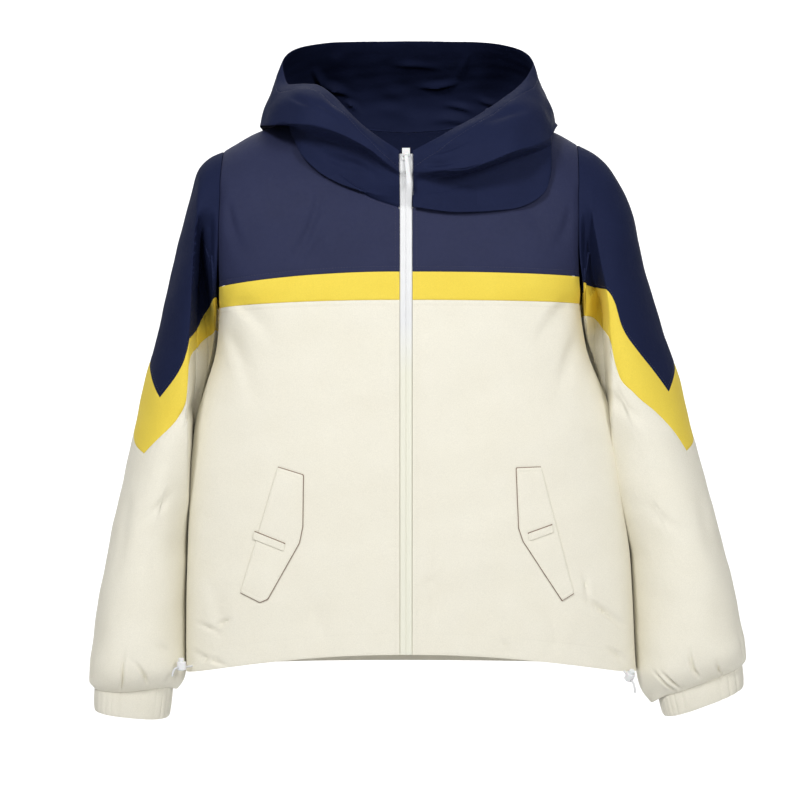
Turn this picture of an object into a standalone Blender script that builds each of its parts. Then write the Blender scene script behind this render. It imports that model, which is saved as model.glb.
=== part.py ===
"""A hooded, zip-front windbreaker jacket, filled out as if worn, with nobody in it.

The front faces -Y and +Z is up. The origin is midway between the two neck points at the top of
the shoulder seams, where the shoulders of a wearer hold it. "left" and "right" are the wearer's,
so left is at +X. Sizes are in millimetres, and `solid` turns them into metres.

The body is one smooth surface, `torso`, that the sewn panels are cut out of. Each sleeve is a run of
rings that starts on the armhole, and the hood is a fan of profiles that starts on the neckline.
Every cloth piece is a grid of points on such a surface, given a wall behind it.
"""

import math

import bmesh
import bpy
import numpy as np
from mathutils import Matrix, Vector

METRE = 0.001  # one millimetre
SEAM = 0.3  # gap between two pieces sewn together
CLOTH = 2.0  # wall of every cloth piece
TAPE_WALL = 1.4
SIDES = {"right": -1.0, "left": 1.0}

ZIP_WIDTH = 14.4  # the strip that shows between the two fronts
ZIP_EDGE = ZIP_WIDTH / 2  # distance of each front's edge from the centre
HEM_FRONT, HEM_SIDE, HEM_BACK = -646.0, -674.0, -672.0
NECK_FRONT, NECK_BACK = -126.0, -24.0
NECK_HALF_WIDTH, NECK_POINT = 95.0, -3.0
BAND_TOP, BAND_BOTTOM = -201.0, -234.0  # the yellow band at the centre front
BACK_BAND_TOP, BACK_BAND_BOTTOM = -205.0, -238.0
SHOULDER_ROUND, NECK_ROUND = 95.0, 190.0  # how far below the seam the body is at full depth
SHOULDER_REACH = 210.0
HOOD_CENTRE_FROM = 0.86  # where the centre panel starts, as a share of the way round to the back
FRONT_STRAIGHT, BACK_STRAIGHT = 0.25, 0.625  # shares of a yoke's rows that end on its centre line
NECK_POINT_SHARE = 0.48  # where the shoulder seam meets the neck, as a share of the way round it

# How finely the grids are divided.
YOKE_ROWS, BAND_ROWS, PANEL_ROWS = 8, 2, 10
BODY_COLUMNS = 8
UPPER_SLEEVE_ROWS, SLEEVE_BAND_ROWS, LOWER_SLEEVE_ROWS = 6, 2, 11
HOOD_PROFILE = np.array([0, 0.6, 1.2, 2, 2.6, 3.2, 3.9, 4.6, 5.3, 6])  # places up a profile's points


def columns(names, rows):
    """A table as a dictionary with an array for each named column."""
    return dict(zip(names.split(), np.array(rows, float).T))


BODY = columns(
    "height right left front back square",
    [
        (40, 241, 226, 66, 70, 3.4),
        (-52, 240, 225, 80, 84, 3.6),
        (-126, 239, 224, 92, 96, 3.6),
        (-190, 232, 216, 102, 102, 3.4),
        (-220, 227, 212, 105, 104, 3.2),
        (-236, 223.4, 208, 106, 104, 3.0),
        (-241, 222.5, 208.4, 106, 104, 3.0),
        (-285, 226, 215, 106, 103, 2.8),
        (-335, 239, 233, 105, 102, 2.6),
        (-385, 252, 250, 104, 101, 2.5),
        (-430, 257, 255, 103, 100, 2.5),
        (-550, 259, 266, 100, 98, 2.5),
        (-700, 261, 271, 96, 96, 2.5),
    ],
)
SHOULDER = columns(
    "out height",
    [(0, 28), (60, 12), (95, -3), (140, -16), (180, -30), (205, -44), (220, -53), (245, -70)],
)
ARMHOLE = columns(
    "height right left",
    [(-40, 217, 205), (-100, 220, 204), (-170, 222, 204), (-220, 222.4, 207), (-250, 222.6, 208.4)],
)
UNDERARM = {"right": -241.0, "left": -236.0}
BAND_SIDE_TOP = {"right": -217.0, "left": -205.0}  # where the band meets the armhole
NECKLINE_FRONT = columns(
    "out height", [(ZIP_EDGE, NECK_FRONT), (45, -112), (72, -84), (88, -46), (NECK_HALF_WIDTH, NECK_POINT)]
)
NECKLINE_BACK = columns(
    "out height", [(0, NECK_BACK), (40, -22), (75, -15), (NECK_HALF_WIDTH, NECK_POINT)]
)

# A sleeve's rings: the outermost and innermost point of each, half its depth from front to back,
# how far its middle lies behind the shoulder, how far its front and its back lean in around the
# body, and how square its front is (2 is an ellipse).
RING = "outer_x outer_z inner_x inner_z depth middle lean back_lean square"
SLEEVE = {
    "right": columns(
        RING,
        [
            (219, -53, 222, -241, 67, 0, 0, 0, 2.0),
            (234, -60, 223.5, -243, 69, 0, 0, 0, 2.0),
            (248, -74, 225, -248, 71, 1, 2, 4, 2.0),
            (256, -97, 226.5, -255, 73, 2, 4, 8, 2.0),
            (264, -125, 228, -265, 74, 3, 7, 12, 1.95),
            (273, -160, 230, -279, 75, 4, 10, 16, 1.9),
            (284, -206, 233, -298, 75, 4, 12, 20, 1.85),
            (297, -265, 241, -328, 75, 4, 14, 25, 1.8),
            (314, -328, 252.5, -370, 74, 4, 14, 25, 1.8),
            (329, -396, 260.5, -424, 72, 4, 8, 19, 1.85),
            (342, -456, 263, -478, 70, 4, 4, 13, 1.95),
            (354, -516, 265, -534, 68, 4, 1, 10, 2.0),
            (366, -576, 267, -592, 67, 4, 0, 8, 2.05),
            (375, -630, 267, -640, 66, 4, 0, 6, 2.1),
            (379.5, -666, 266, -668, 62, 4, 0, 4, 2.1),
            (380, -684, 270, -683, 51, 3, 0, 2, 2.1),
            (373, -693, 279, -689, 39, 2, 0, 0, 2.1),
        ],
    ),
    "left": columns(
        RING,
        [
            (205, -45, 208, -236, 67, 0, 0, 0, 2.0),
            (224, -55, 209.5, -239, 69, 0, 0, 0, 2.0),
            (242, -70, 211, -245, 71, 1, 2, 4, 2.0),
            (257, -92, 213, -253, 73, 2, 4, 8, 2.0),
            (270, -120, 215, -264, 74, 3, 7, 12, 1.95),
            (280, -160, 218, -279, 75, 4, 10, 16, 1.9),
            (291, -207, 224.5, -298, 75, 4, 12, 20, 1.85),
            (309, -265, 235.5, -328, 75, 4, 14, 25, 1.8),
            (330, -328, 250.5, -370, 74, 4, 14, 25, 1.8),
            (345, -394, 259.5, -424, 72, 4, 8, 19, 1.85),
            (362, -452, 264.5, -480, 70, 4, 4, 13, 1.95),
            (378, -512, 273, -542, 68, 4, 1, 10, 2.0),
            (393, -568, 277, -602, 67, 4, 0, 8, 2.05),
            (402, -616, 280, -652, 66, 4, 0, 6, 2.1),
            (406, -640, 284, -680, 62, 4, 0, 4, 2.1),
            (407, -656, 292, -694, 51, 3, 0, 2, 2.1),
            (403, -664, 302, -700, 39, 2, 0, 0, 2.1),
        ],
    ),
}
CUFF = {
    "right": columns(
        RING, [(373, -693, 279, -689, 39, 2, 0, 0, 2.1), (373.5, -718, 283, -727, 37.5, 2, 0, 0, 2.1)]
    ),
    "left": columns(
        RING, [(403, -664, 302, -700, 39, 2, 0, 0, 2.1), (405, -690, 308, -726, 37.5, 2, 0, 0, 2.1)]
    ),
}
CUFF_PITCH = 9.0  # how much higher each cuff is at its back than at its middle

# Where the seams above and below the sleeve's band cross each line along the sleeve. The angle goes
# round from the outer side (0) to the front (90) and the underarm (180); -90 is the back.
POINT_ANGLE = {"right": 52.0, "left": 39.0}
SLEEVE_SEAMS = {
    "right": columns(
        "angle upper lower",
        [
            (-180, -225, -266),
            (-150, -229, -270),
            (-90, -241, -284),
            (-40, -257, -308),
            (0, -288, -346),
            (22, -311, -371),
            (POINT_ANGLE["right"], -347, -413),
            (70, -325, -394),
            (85, -292, -378),
            (93, -245, -350),
            (101, -240, -296),
            (120, -236, -277),
            (150, -229, -270),
            (180, -225, -266),
        ],
    ),
    "left": columns(
        "angle upper lower",
        [
            (-180, -207, -250),
            (-150, -210, -254),
            (-90, -226, -276),
            (-40, -248, -308),
            (-5, -284, -350),
            (19, -313, -384),
            (POINT_ANGLE["left"], -340, -410),
            (55, -312, -390),
            (67, -291, -366),
            (82, -262, -348),
            (87, -236, -342),
            (101, -218, -326),
            (107, -216, -279),
            (132, -212, -254),
            (180, -207, -250),
        ],
    ),
}
UPPER_SLEEVE_ENDS = 150.0  # the upper piece runs between these angles, front and back

# The hood's profiles, from the zip round to the centre back. Each runs from the neckline through a
# low rise, its fall over the shoulder, its outermost roll, its flank and its crown to its rim.
HOOD_POINTS = ("rise", "fall", "roll", "flank", "crown", "rim")
HOOD_SHARES = (0.00, 0.14, 0.30, 0.48, 0.64, 0.82, 1.00)  # of the way round to the centre back
HOOD = [
    # (out, y, z) of each point
    [(7.6, -95, -113), (7.8, -101, -100), (8, -106, -86), (8, -106.5, -78), (8, -106, -70), (8, -105, -61)],
    [(46, -92, -108), (70, -90, -99), (54, -119, -52), (50, -116, -42), (48, -108, -34), (47, -98, -33)],
    [(92, -78, -70), (122, -76, -62), (108, -116, -28), (112, -106, -6), (113, -90, 12), (108, -66, 22)],
    [(100, -2, 6), (140, -6, -7), (174, -12, -23), (170, -6, -4), (158, 0, 34), (149, 4, 55)],
    [(86, 40, -3), (126, 62, -14), (164, 74, -36), (170, 78, -6), (156, 66, 44), (130, 44, 79)],
    [(50, 62, -14), (58, 112, -74), (78, 146, -156), (104, 168, -104), (104, 152, 20), (80, 76, 91)],
    [(0, 66, -17), (0, 112, -90), (0, 142, -192), (0, 178, -130), (0, 166, 10), (0, 84, 93)],
]
HOOD_LEFT_ROLL_DROP = 16.0  # the roll hangs lower on the wearer's left
HOOD_LEFT_WIDER = (1.0, 1.04, 1.06, 1.04, 1.01, 1.03)  # and each point of a profile reaches further out

# Corners of each pocket's flap, from the top of its sewn edge round to the foot of that edge, and
# of the tab that lies across it.
FLAP = {
    "right": columns(
        "out height",
        [(149, -428), (119, -437), (120, -497), (124, -516), (161, -582), (170, -586), (193, -575)],
    ),
    "left": columns(
        "out height",
        [(157, -428), (128, -429), (130, -475), (131, -499), (136, -514), (182, -584), (196, -576)],
    ),
}
FLAP_TAB = {
    "right": columns("out height", [(176, -503), (178, -512), (142, -526), (140, -517)]),
    "left": columns("out height", [(170, -495), (172, -504), (143, -514), (141, -505)]),
}
FLAP_WALL, TAB_THICKNESS = 1.6, 1.2
LOCK_RADIUS, LOCK_HEIGHT = 5.5, 10.5
LOCK_ROUNDING, BUTTON_ROUNDING = 1.4, 0.9
CORD_START = {"right": (-251.2, -35.3, -665.0), "left": (256.5, -41.9, -668.7)}  # at the hem
LOCK_HOLE = {"right": (-265.0, -47.0, -665.7), "left": (263.3, -52.0, -677.2)}  # on the cord
LOCK_HOLE_DEPTH = 1.7  # of the cord's hole below the barrel's middle
WELL_DEPTH = 4.6  # of the hole that the button slides in
BUTTON_RADIUS, BUTTON_SUNK, BUTTON_SHOWS = 3.4, 1.6, 4.2
CORD_WIDTH = 2.6
CORD_TAIL = 13.0  # what hangs free beyond the lock

SLIDER_TOP, SLIDER_HEIGHT, SLIDER_HALF_WIDTH = -58.5, 13.5, 4.5
SLIDER_FACE = -106.9  # the back of the slider's front plate, just clear of the tapes
SLIDER_BACK = (-102.6, -100.8)  # front and back of the plate behind the tapes
PLATE = 2.6
NECK_HALF, NECK_TOP, NECK_FOOT = 2.4, 0.2, 2.1  # the block between the plates, below the slider's top
PIVOT_Y, PIVOT_Z = -111.6, -66.0  # the pin that the pull hangs on
PIN_RADIUS, EYE_BORE, EYE_RADIUS = 0.7, 1.0, 1.6
EAR_INNER, EAR_OUTER, EAR_FRONT, EAR_HALF_HEIGHT = 2.9, 3.9, 1.5, 2.0
PULL_LENGTH, PULL_WIDTH, PULL_THICKNESS = 34.0, 5.2, 1.6
PULL_TAPER, PULL_ROUNDING = 0.4, 1.8
PULL_LEAN = 6.0  # the pull hangs a little to one side

COLOURS = {
    "navy": ((0.030, 0.036, 0.078), 0.62),
    "yellow": ((0.86, 0.66, 0.09), 0.6),
    "cream": ((0.83, 0.80, 0.71), 0.62),
    "zip_tape": ((0.86, 0.86, 0.85), 0.7),
    "white_plastic": ((0.88, 0.88, 0.87), 0.35),
    "white_cord": ((0.85, 0.85, 0.82), 0.8),
}


def smooth(at, places, values):
    """The monotone cubic curve through the given places and values, read at `at`."""
    x, y = np.asarray(places, float), np.asarray(values, float)
    if x[0] > x[-1]:
        x, y = x[::-1], y[::-1]
    gap = np.diff(x)
    slope = np.diff(y) / gap
    tangent = np.zeros_like(y)
    tangent[0], tangent[-1] = slope[0], slope[-1]
    before, after = slope[:-1], slope[1:]
    turning = before * after <= 0
    safe_before, safe_after = np.where(turning, 1.0, before), np.where(turning, 1.0, after)
    near, far = 2 * gap[1:] + gap[:-1], gap[1:] + 2 * gap[:-1]
    mean = (near + far) / (near / safe_before + far / safe_after)
    tangent[1:-1] = np.where(turning, 0.0, mean)
    at = np.clip(at, x[0], x[-1])
    i = np.clip(np.searchsorted(x, at, side="right") - 1, 0, len(gap) - 1)
    t = (at - x[i]) / gap[i]
    rise = y[i] * (1 + 2 * t) * (1 - t) ** 2 + y[i + 1] * t * t * (3 - 2 * t)
    return rise + gap[i] * (tangent[i] * t * (1 - t) ** 2 - tangent[i + 1] * t * t * (1 - t))


def unit(v):
    return v / np.maximum(np.linalg.norm(v, axis=-1, keepdims=True), 1e-9)


# The body


def body_half_width(x, z):
    return np.where(x > 0, smooth(z, BODY["height"], BODY["left"]), smooth(z, BODY["height"], BODY["right"]))


def body_depth(face, x, z):
    """How far the body's surface stands in front of or behind the shoulder line at (x, z)."""
    full = smooth(z, BODY["height"], BODY[face])
    square = smooth(z, BODY["height"], BODY["square"])
    out = np.clip(np.abs(x) / body_half_width(x, z), 0, 1)
    around = (1 - out**square) ** (1 / square)
    reach = SHOULDER_ROUND + (NECK_ROUND - SHOULDER_ROUND) * np.clip(1 - np.abs(x) / SHOULDER_REACH, 0, 1)
    below = np.clip((smooth(np.abs(x), SHOULDER["out"], SHOULDER["height"]) - z) / reach, 0, 1)
    return full * around * np.sqrt(1 - (1 - below) ** 2)


def torso(face, x, z):
    """Points of the body's surface and their outward normals; face is "front" or "back"."""
    x, z = np.asarray(x, float), np.asarray(z, float)
    forward = -1.0 if face == "front" else 1.0
    depth, step = body_depth(face, x, z), 0.05
    slope_x = (body_depth(face, x + step, z) - body_depth(face, x - step, z)) / (2 * step)
    slope_z = (body_depth(face, x, z + step) - body_depth(face, x, z - step)) / (2 * step)
    on_seam = depth < 2.0
    normal = unit(np.stack([-slope_x, np.where(on_seam, 0.0, forward), -slope_z], axis=-1))
    y = forward * np.maximum(depth, SEAM / 2)
    return np.stack([x, y, z], axis=-1), normal


def armhole_x(side, z):
    return smooth(z, ARMHOLE["height"], ARMHOLE[side])


def armhole_height(side, angle):
    """Height of the armhole at an angle round it, from the shoulder (0) to the underarm (180)."""
    top, low = SLEEVE[side]["outer_z"][0], UNDERARM[side]
    return (top + low) / 2 + (top - low) / 2 * np.cos(np.radians(angle))


def armhole(side, angle, outwards):
    """Points and normals of the armhole, moved outwards from its seam; angles below 0 are behind."""
    z = armhole_height(side, angle)
    x = SIDES[side] * armhole_x(side, z)
    ahead, ahead_normal = torso("front", x, z)
    behind, behind_normal = torso("back", x, z)
    in_front = (np.asarray(angle) >= 0)[..., None]
    points = np.where(in_front, ahead, behind)
    points[..., 0] += SIDES[side] * outwards
    return points, np.where(in_front, ahead_normal, behind_normal)


def band_angle(side):
    """The angle round the armhole where the top of the band meets it."""
    angles = np.linspace(0, 180, 721)
    return float(np.interp(-BAND_SIDE_TOP[side], -armhole_height(side, angles), angles))


def across(count):
    """Shares of the way from the centre to the side, closer together where the body turns away."""
    return np.sin(np.linspace(0, math.pi / 2, count + 1)) ** 0.9


def blend_grid(bottom, top, inner, outer, shares):
    """A grid of (x, z) places inside four edges, given as arrays along them."""
    u = shares[None, :, None]
    v = np.linspace(0, 1, len(inner))[:, None, None]
    corners = (
        (1 - u) * (1 - v) * bottom[0]
        + u * (1 - v) * bottom[-1]
        + (1 - u) * v * top[0]
        + u * v * top[-1]
    )
    return (1 - v) * bottom[None] + v * top[None] + (1 - u) * inner[:, None] + u * outer[:, None] - corners


def line(start, end, shares, bow=1.0):
    """Places from start to end; bow above 1 keeps the height level near the start."""
    start, end = np.array(start, float), np.array(end, float)
    x = start[0] + (end[0] - start[0]) * shares
    z = start[1] + (end[1] - start[1]) * shares**bow
    return np.stack([x, z], axis=-1)


def along(table, shares):
    """Places along a curve of (out, height), by share of its length."""
    steps = np.hypot(np.diff(table["out"]), np.diff(table["height"]))
    at = np.concatenate([[0], np.cumsum(steps)]) / steps.sum()
    return np.stack([smooth(shares, at, table["out"]), smooth(shares, at, table["height"])], axis=-1)


def yoke_places(side, face):
    """(out, height) places of one half of a yoke, front or back, from its band up to the shoulder."""
    shares = across(BODY_COLUMNS)
    v = np.linspace(0, 1, YOKE_ROWS + 1)
    if face == "front":
        centre, centre_top, centre_low = ZIP_EDGE + SEAM, NECK_FRONT - SEAM / 2, BAND_TOP + SEAM / 2
        neckline = NECKLINE_FRONT
    else:
        centre, centre_top, centre_low = 0.0, NECK_BACK - SEAM / 2, BACK_BAND_TOP + SEAM / 2
        neckline = NECKLINE_BACK
    straight = FRONT_STRAIGHT if face == "front" else BACK_STRAIGHT
    rising = line((centre, centre_low), (centre, centre_top), np.clip(v / straight, 0, 1))
    curve = along(neckline, np.clip((v - straight) / (1 - straight), 0, 1)) - (0, SEAM / 2)
    curve[:, 0] = np.maximum(curve[:, 0], centre)
    inner = np.where((v <= straight)[:, None], rising, curve)
    angles = band_angle(side) * (1 - v)
    height = armhole_height(side, angles)
    height[0] += SEAM / 2
    outer = np.stack([armhole_x(side, height) - SEAM / 2, height], axis=-1)
    bottom = line(inner[0], outer[0], shares, 2.0)
    top = line(inner[-1], outer[-1], shares)
    top[:, 1] = smooth(top[:, 0], SHOULDER["out"], SHOULDER["height"])
    inner[-1], outer[-1] = top[0], top[-1]
    return blend_grid(bottom, top, inner, outer, shares)


def band_places(side, face):
    """(out, height) places of one half of the band, whose ends run along the armhole to the underarm."""
    shares = across(BODY_COLUMNS)
    front = face == "front"
    centre = ZIP_EDGE + SEAM if front else 0.0
    top, low = (BAND_TOP, BAND_BOTTOM) if front else (BACK_BAND_TOP, BACK_BAND_BOTTOM)
    v = np.linspace(0, 1, BAND_ROWS + 1)
    angles = 180 + (band_angle(side) - 180) * v
    height = armhole_height(side, angles)
    height[0] += SEAM / 2
    height[-1] -= SEAM / 2
    outer = np.stack([armhole_x(side, height) - SEAM / 2, height], axis=-1)
    inner = line((centre, low + SEAM / 2), (centre, top - SEAM / 2), v)
    bottom, upper = line(inner[0], outer[0], shares, 2.0), line(inner[-1], outer[-1], shares, 2.0)
    return blend_grid(bottom, upper, inner, outer, shares)


def panel_places(side, face):
    """(out, height) places of one half of the body below the band, down to the hem."""
    shares = across(BODY_COLUMNS)
    front = face == "front"
    centre = ZIP_EDGE + SEAM if front else 0.0
    top, low = (BAND_BOTTOM, HEM_FRONT) if front else (BACK_BAND_BOTTOM, HEM_BACK)
    rows = []
    for v in np.linspace(0, 1, PANEL_ROWS + 1):
        inner_z = low + (top - SEAM / 2 - low) * v
        outer_z = HEM_SIDE + (UNDERARM[side] - SEAM / 2 - HEM_SIDE) * v
        sign = SIDES[side]
        outer_x = float(body_half_width(sign, outer_z))
        rows.append(line((centre, inner_z), (outer_x, outer_z), shares, 2.0))
    return np.array(rows)


# Solids out of grids


def new_object(name, material, mesh):
    obj = bpy.data.objects.new(name, mesh)
    bpy.context.scene.collection.objects.link(obj)
    mesh.materials.append(material_named(material))
    return obj


def material_named(name):
    known = bpy.data.materials.get(name)
    if known:
        return known
    colour, roughness = COLOURS[name]
    made = bpy.data.materials.new(name)
    made.use_nodes = True
    shader = made.node_tree.nodes["Principled BSDF"]
    shader.inputs["Base Color"].default_value = (*colour, 1)
    shader.inputs["Roughness"].default_value = roughness
    shader.inputs["Metallic"].default_value = 0.0
    made.diffuse_color = (*colour, 1)
    return made


def from_bmesh(name, material, bm):
    """An object out of a bmesh in millimetres, closed, facing out and shaded smooth."""
    bmesh.ops.recalc_face_normals(bm, faces=bm.faces)
    bmesh.ops.scale(bm, vec=(METRE,) * 3, verts=bm.verts)
    mesh = bpy.data.meshes.new(name)
    bm.to_mesh(mesh)
    bm.free()
    mesh.shade_smooth()
    mesh.set_sharp_from_angle(angle=math.radians(50))
    return new_object(name, material, mesh)


def shell(name, material, outer, normal, faces, thickness=CLOTH, closed=False):
    """A cloth piece: faces over the outer points, the same a wall further in, and its edges closed."""
    bm = bmesh.new()
    used = sorted({i for face in faces for i in face})
    front = {i: bm.verts.new(outer[i]) for i in used}
    back = {i: bm.verts.new(outer[i] - thickness * normal[i]) for i in used}
    edges = set()
    for face in faces:
        bm.faces.new([front[i] for i in face])
        bm.faces.new([back[i] for i in face[:1] + face[:0:-1]])
        edges.update(zip(face, face[1:] + face[:1]))
    open_edges = sorted(sorted(edge) for edge in edges if edge[::-1] not in edges)
    for low, high in open_edges:
        if closed and high - low > 1:  # the edge back to a ring's first point is split as the others are
            low, high = high, low
        bm.faces.new((front[low], front[high], back[high], back[low]))
    return from_bmesh(name, material, bm)


def grid_faces(index):
    """The faces between neighbours in a grid of point numbers."""
    corners = index[:-1, :-1], index[:-1, 1:], index[1:, 1:], index[1:, :-1]
    return [tuple(face) for face in np.stack(corners, axis=-1).reshape(-1, 4).tolist()]


def wall(name, material, outer, normal, closed=False, thickness=CLOTH):
    """A cloth piece over a grid of points, which may close on itself across its columns."""
    rows, count = outer.shape[:2]
    index = np.arange(rows * count).reshape(rows, count)
    if closed:
        index = np.concatenate([index, index[:, :1]], axis=1)
    points, normals = outer.reshape(-1, 3), normal.reshape(-1, 3)
    return shell(name, material, points, normals, grid_faces(index), thickness, closed)


def front_piece(name, material, side, places):
    """One half of the front, cut from the body."""
    points, normal = torso("front", SIDES[side] * places[..., 0], places[..., 1])
    wall(name, material, points, normal)


def back_piece(name, material, right, left):
    """Both halves of the back in one piece, joined wherever their centre edges meet."""
    x = np.concatenate([-right[:, ::-1, 0], left[..., 0]], axis=1)
    z = np.concatenate([right[:, ::-1, 1], left[..., 1]], axis=1)
    points, normal = torso("back", x, z)
    index = np.arange(x.size).reshape(x.shape)
    middle = right.shape[1]
    joined = np.abs(x[:, middle]) < SEAM / 2
    index[joined, middle] = index[joined, middle - 1]
    faces = grid_faces(index[:, :middle]) + grid_faces(index[:, middle:])
    shell(name, material, points.reshape(-1, 3), normal.reshape(-1, 3), faces)


def make_body():
    """The three levels of the front, on each side, and of the back."""
    levels = (("yoke", "navy", yoke_places), ("band", "yellow", band_places))
    for level, material, places in levels + (("panel", "cream", panel_places),):
        for side in SIDES:
            front_piece(f"front_{level}_{side}", material, side, places(side, "front"))
        back_piece(f"back_{level}", material, places("right", "back"), places("left", "back"))


# The sleeves


def ring_points(table, angle, at, pitch=0.0):
    """Points of a run of rings: angle round the ring, and `at` its place in the table, from 0."""
    rows = np.arange(len(table["depth"]))
    row = {key: smooth(at, rows, values) for key, values in table.items()}
    turn = np.radians(angle)
    power = 2 / row["square"]
    outwards = np.sign(np.cos(turn)) * np.abs(np.cos(turn)) ** power
    forwards = np.sign(np.sin(turn)) * np.abs(np.sin(turn)) ** np.where(np.sin(turn) > 0, power, 1.0)
    x = (row["outer_x"] + row["inner_x"]) / 2 + (row["outer_x"] - row["inner_x"]) / 2 * outwards
    z = (row["outer_z"] + row["inner_z"]) / 2 + (row["outer_z"] - row["inner_z"]) / 2 * outwards
    x = x - np.where(forwards > 0, row["lean"], row["back_lean"]) * np.abs(forwards)
    y = row["middle"] - row["depth"] * forwards
    return np.stack([x, y, z - pitch * forwards], axis=-1)


def sleeve_pitch(side, at):
    """The rings take up the cuff's pitch over the last few rows of the table."""
    last = len(SLEEVE[side]["depth"]) - 1
    return CUFF_PITCH * np.clip((at - last + 4) / 4, 0, 1)


def sleeve_points(side, angle, at):
    """Points of a sleeve's outer surface: the armhole itself at 0, its own rings a few rows on."""
    angle, at = np.broadcast_arrays(np.asarray(angle, float), np.asarray(at, float))
    rings = ring_points(SLEEVE[side], angle, at, sleeve_pitch(side, at))
    rings[..., 0] *= SIDES[side]
    first = ring_points(SLEEVE[side], angle, np.zeros_like(at))
    first[..., 0] *= SIDES[side]
    seam, _ = armhole(side, angle, 2 * SEAM)
    share = np.clip(at / 5, 0, 1)[..., None]
    return rings + (seam - first) * (1 - share * share * (3 - 2 * share))


def sleeve_normals(side, angle, at):
    """Outward normals of a sleeve; over the shoulder they start as the body's own."""
    angle, at = np.broadcast_arrays(np.asarray(angle, float), np.asarray(at, float))
    step = 0.02
    round_it = sleeve_points(side, angle + 50 * step, at) - sleeve_points(side, angle - 50 * step, at)
    low, high = np.maximum(at - step, 0), np.minimum(at + step, len(SLEEVE[side]["depth"]) - 1)
    down_it = sleeve_points(side, angle, high) - sleeve_points(side, angle, low)
    normal = unit(np.cross(round_it, down_it)) * SIDES[side]
    _, seam_normal = armhole(side, angle, 0.0)
    above = np.clip((140 - np.abs(angle)) / 50, 0, 1)
    share = (np.clip(1 - at, 0, 1) * above)[..., None]
    return unit(normal * (1 - share) + seam_normal * share)


def seam_places(side, angles, seam):
    """Place down the sleeve, in rows of its table, where a seam crosses each angle; 0 is the armhole."""
    heights = np.interp(angles, SLEEVE_SEAMS[side]["angle"], SLEEVE_SEAMS[side][seam])
    fine = np.linspace(0, len(SLEEVE[side]["depth"]) - 1, 400)
    found = []
    for angle, height in zip(angles, heights):
        z = sleeve_points(side, angle, fine)[:, 2]
        found.append(float(np.interp(-height, -z, fine)))
    return np.array(found)


def ring_angles(side):
    """Angles of a sleeve's lines, from the back of the underarm round the outside to its front."""
    band = band_angle(side)
    front = np.concatenate([np.linspace(0, band, YOKE_ROWS + 1), np.linspace(band, 180, BAND_ROWS + 1)[1:]])
    shown = np.unique(np.round(np.append(front, (POINT_ANGLE[side], UPPER_SLEEVE_ENDS)), 4))
    hidden = np.unique(np.round(np.append(front, UPPER_SLEEVE_ENDS), 4))
    return np.concatenate([-hidden[:0:-1], shown])


def gap_at_ends(points, first=True, last=True):
    """Draws a grid's first and last columns in by half a seam's gap."""
    if first:
        points[:, 0] += unit(points[:, 1] - points[:, 0]) * SEAM / 2
    if last:
        points[:, -1] += unit(points[:, -2] - points[:, -1]) * SEAM / 2


def sleeve_piece(name, material, side, angles, start, end, rows, closed=True, split=False):
    """Part of a sleeve between two seams, with half a seam's gap left at each."""
    v = np.linspace(0, 1, rows + 1)[:, None]
    at = start[None] * (1 - v) + end[None] * v
    angle = np.broadcast_to(angles[None], at.shape)
    points, normal = sleeve_points(side, angle, at), sleeve_normals(side, angle, at)
    for row, towards in ((0, 1), (-1, -2)):
        inwards = unit(points[towards] - points[row])
        points[row] = points[row] + inwards * SEAM / 2
    gap_at_ends(points, split, split)
    wall(name, material, points, normal, closed)


def make_sleeve(side):
    """The pointed upper piece, the band below it, and two halves down to the cuff, front and back."""
    angles = ring_angles(side)
    upper, lower = seam_places(side, angles, "upper"), seam_places(side, angles, "lower")
    held = np.abs(angles) <= UPPER_SLEEVE_ENDS + 0.01
    upper = np.where(held, np.maximum(upper, 0.35), 0.0)
    foot = np.full_like(angles, len(SLEEVE[side]["depth"]) - 1)
    top = np.zeros_like(angles)
    name = f"sleeve_upper_{side}"
    sleeve_piece(name, "navy", side, angles[held], top[held], upper[held], UPPER_SLEEVE_ROWS, False)
    ring = slice(0, -1)  # the last angle is the first one again
    name = f"sleeve_band_{side}"
    sleeve_piece(name, "yellow", side, angles[ring], upper[ring], lower[ring], SLEEVE_BAND_ROWS)
    turned = np.append(angles[:-1], angles[0])  # the last angle meets the first one exactly
    for face, half in (("front", angles >= 0), ("back", angles <= 0)):
        name, ends = f"sleeve_lower_{face}_{side}", (lower[half], foot[half])
        sleeve_piece(name, "cream", side, turned[half], *ends, LOWER_SLEEVE_ROWS, False, True)


def make_cuff(side):
    """The gathered band that closes a sleeve."""
    angles = ring_angles(side)[:-1]
    at = np.linspace(0, 1, 2)[:, None] * np.ones_like(angles)
    angle = np.broadcast_to(angles[None], at.shape)
    points = ring_points(CUFF[side], angle, at, CUFF_PITCH)
    points[..., 0] *= SIDES[side]
    points[0] += unit(points[-1] - points[0]) * SEAM
    round_it = np.roll(points, -1, axis=1) - np.roll(points, 1, axis=1)
    down_it = np.broadcast_to(points[-1:] - points[:1], points.shape)
    normal = unit(np.cross(round_it, down_it)) * SIDES[side]
    wall(f"cuff_{side}", "cream", points, normal, True)


# The hood


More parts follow.
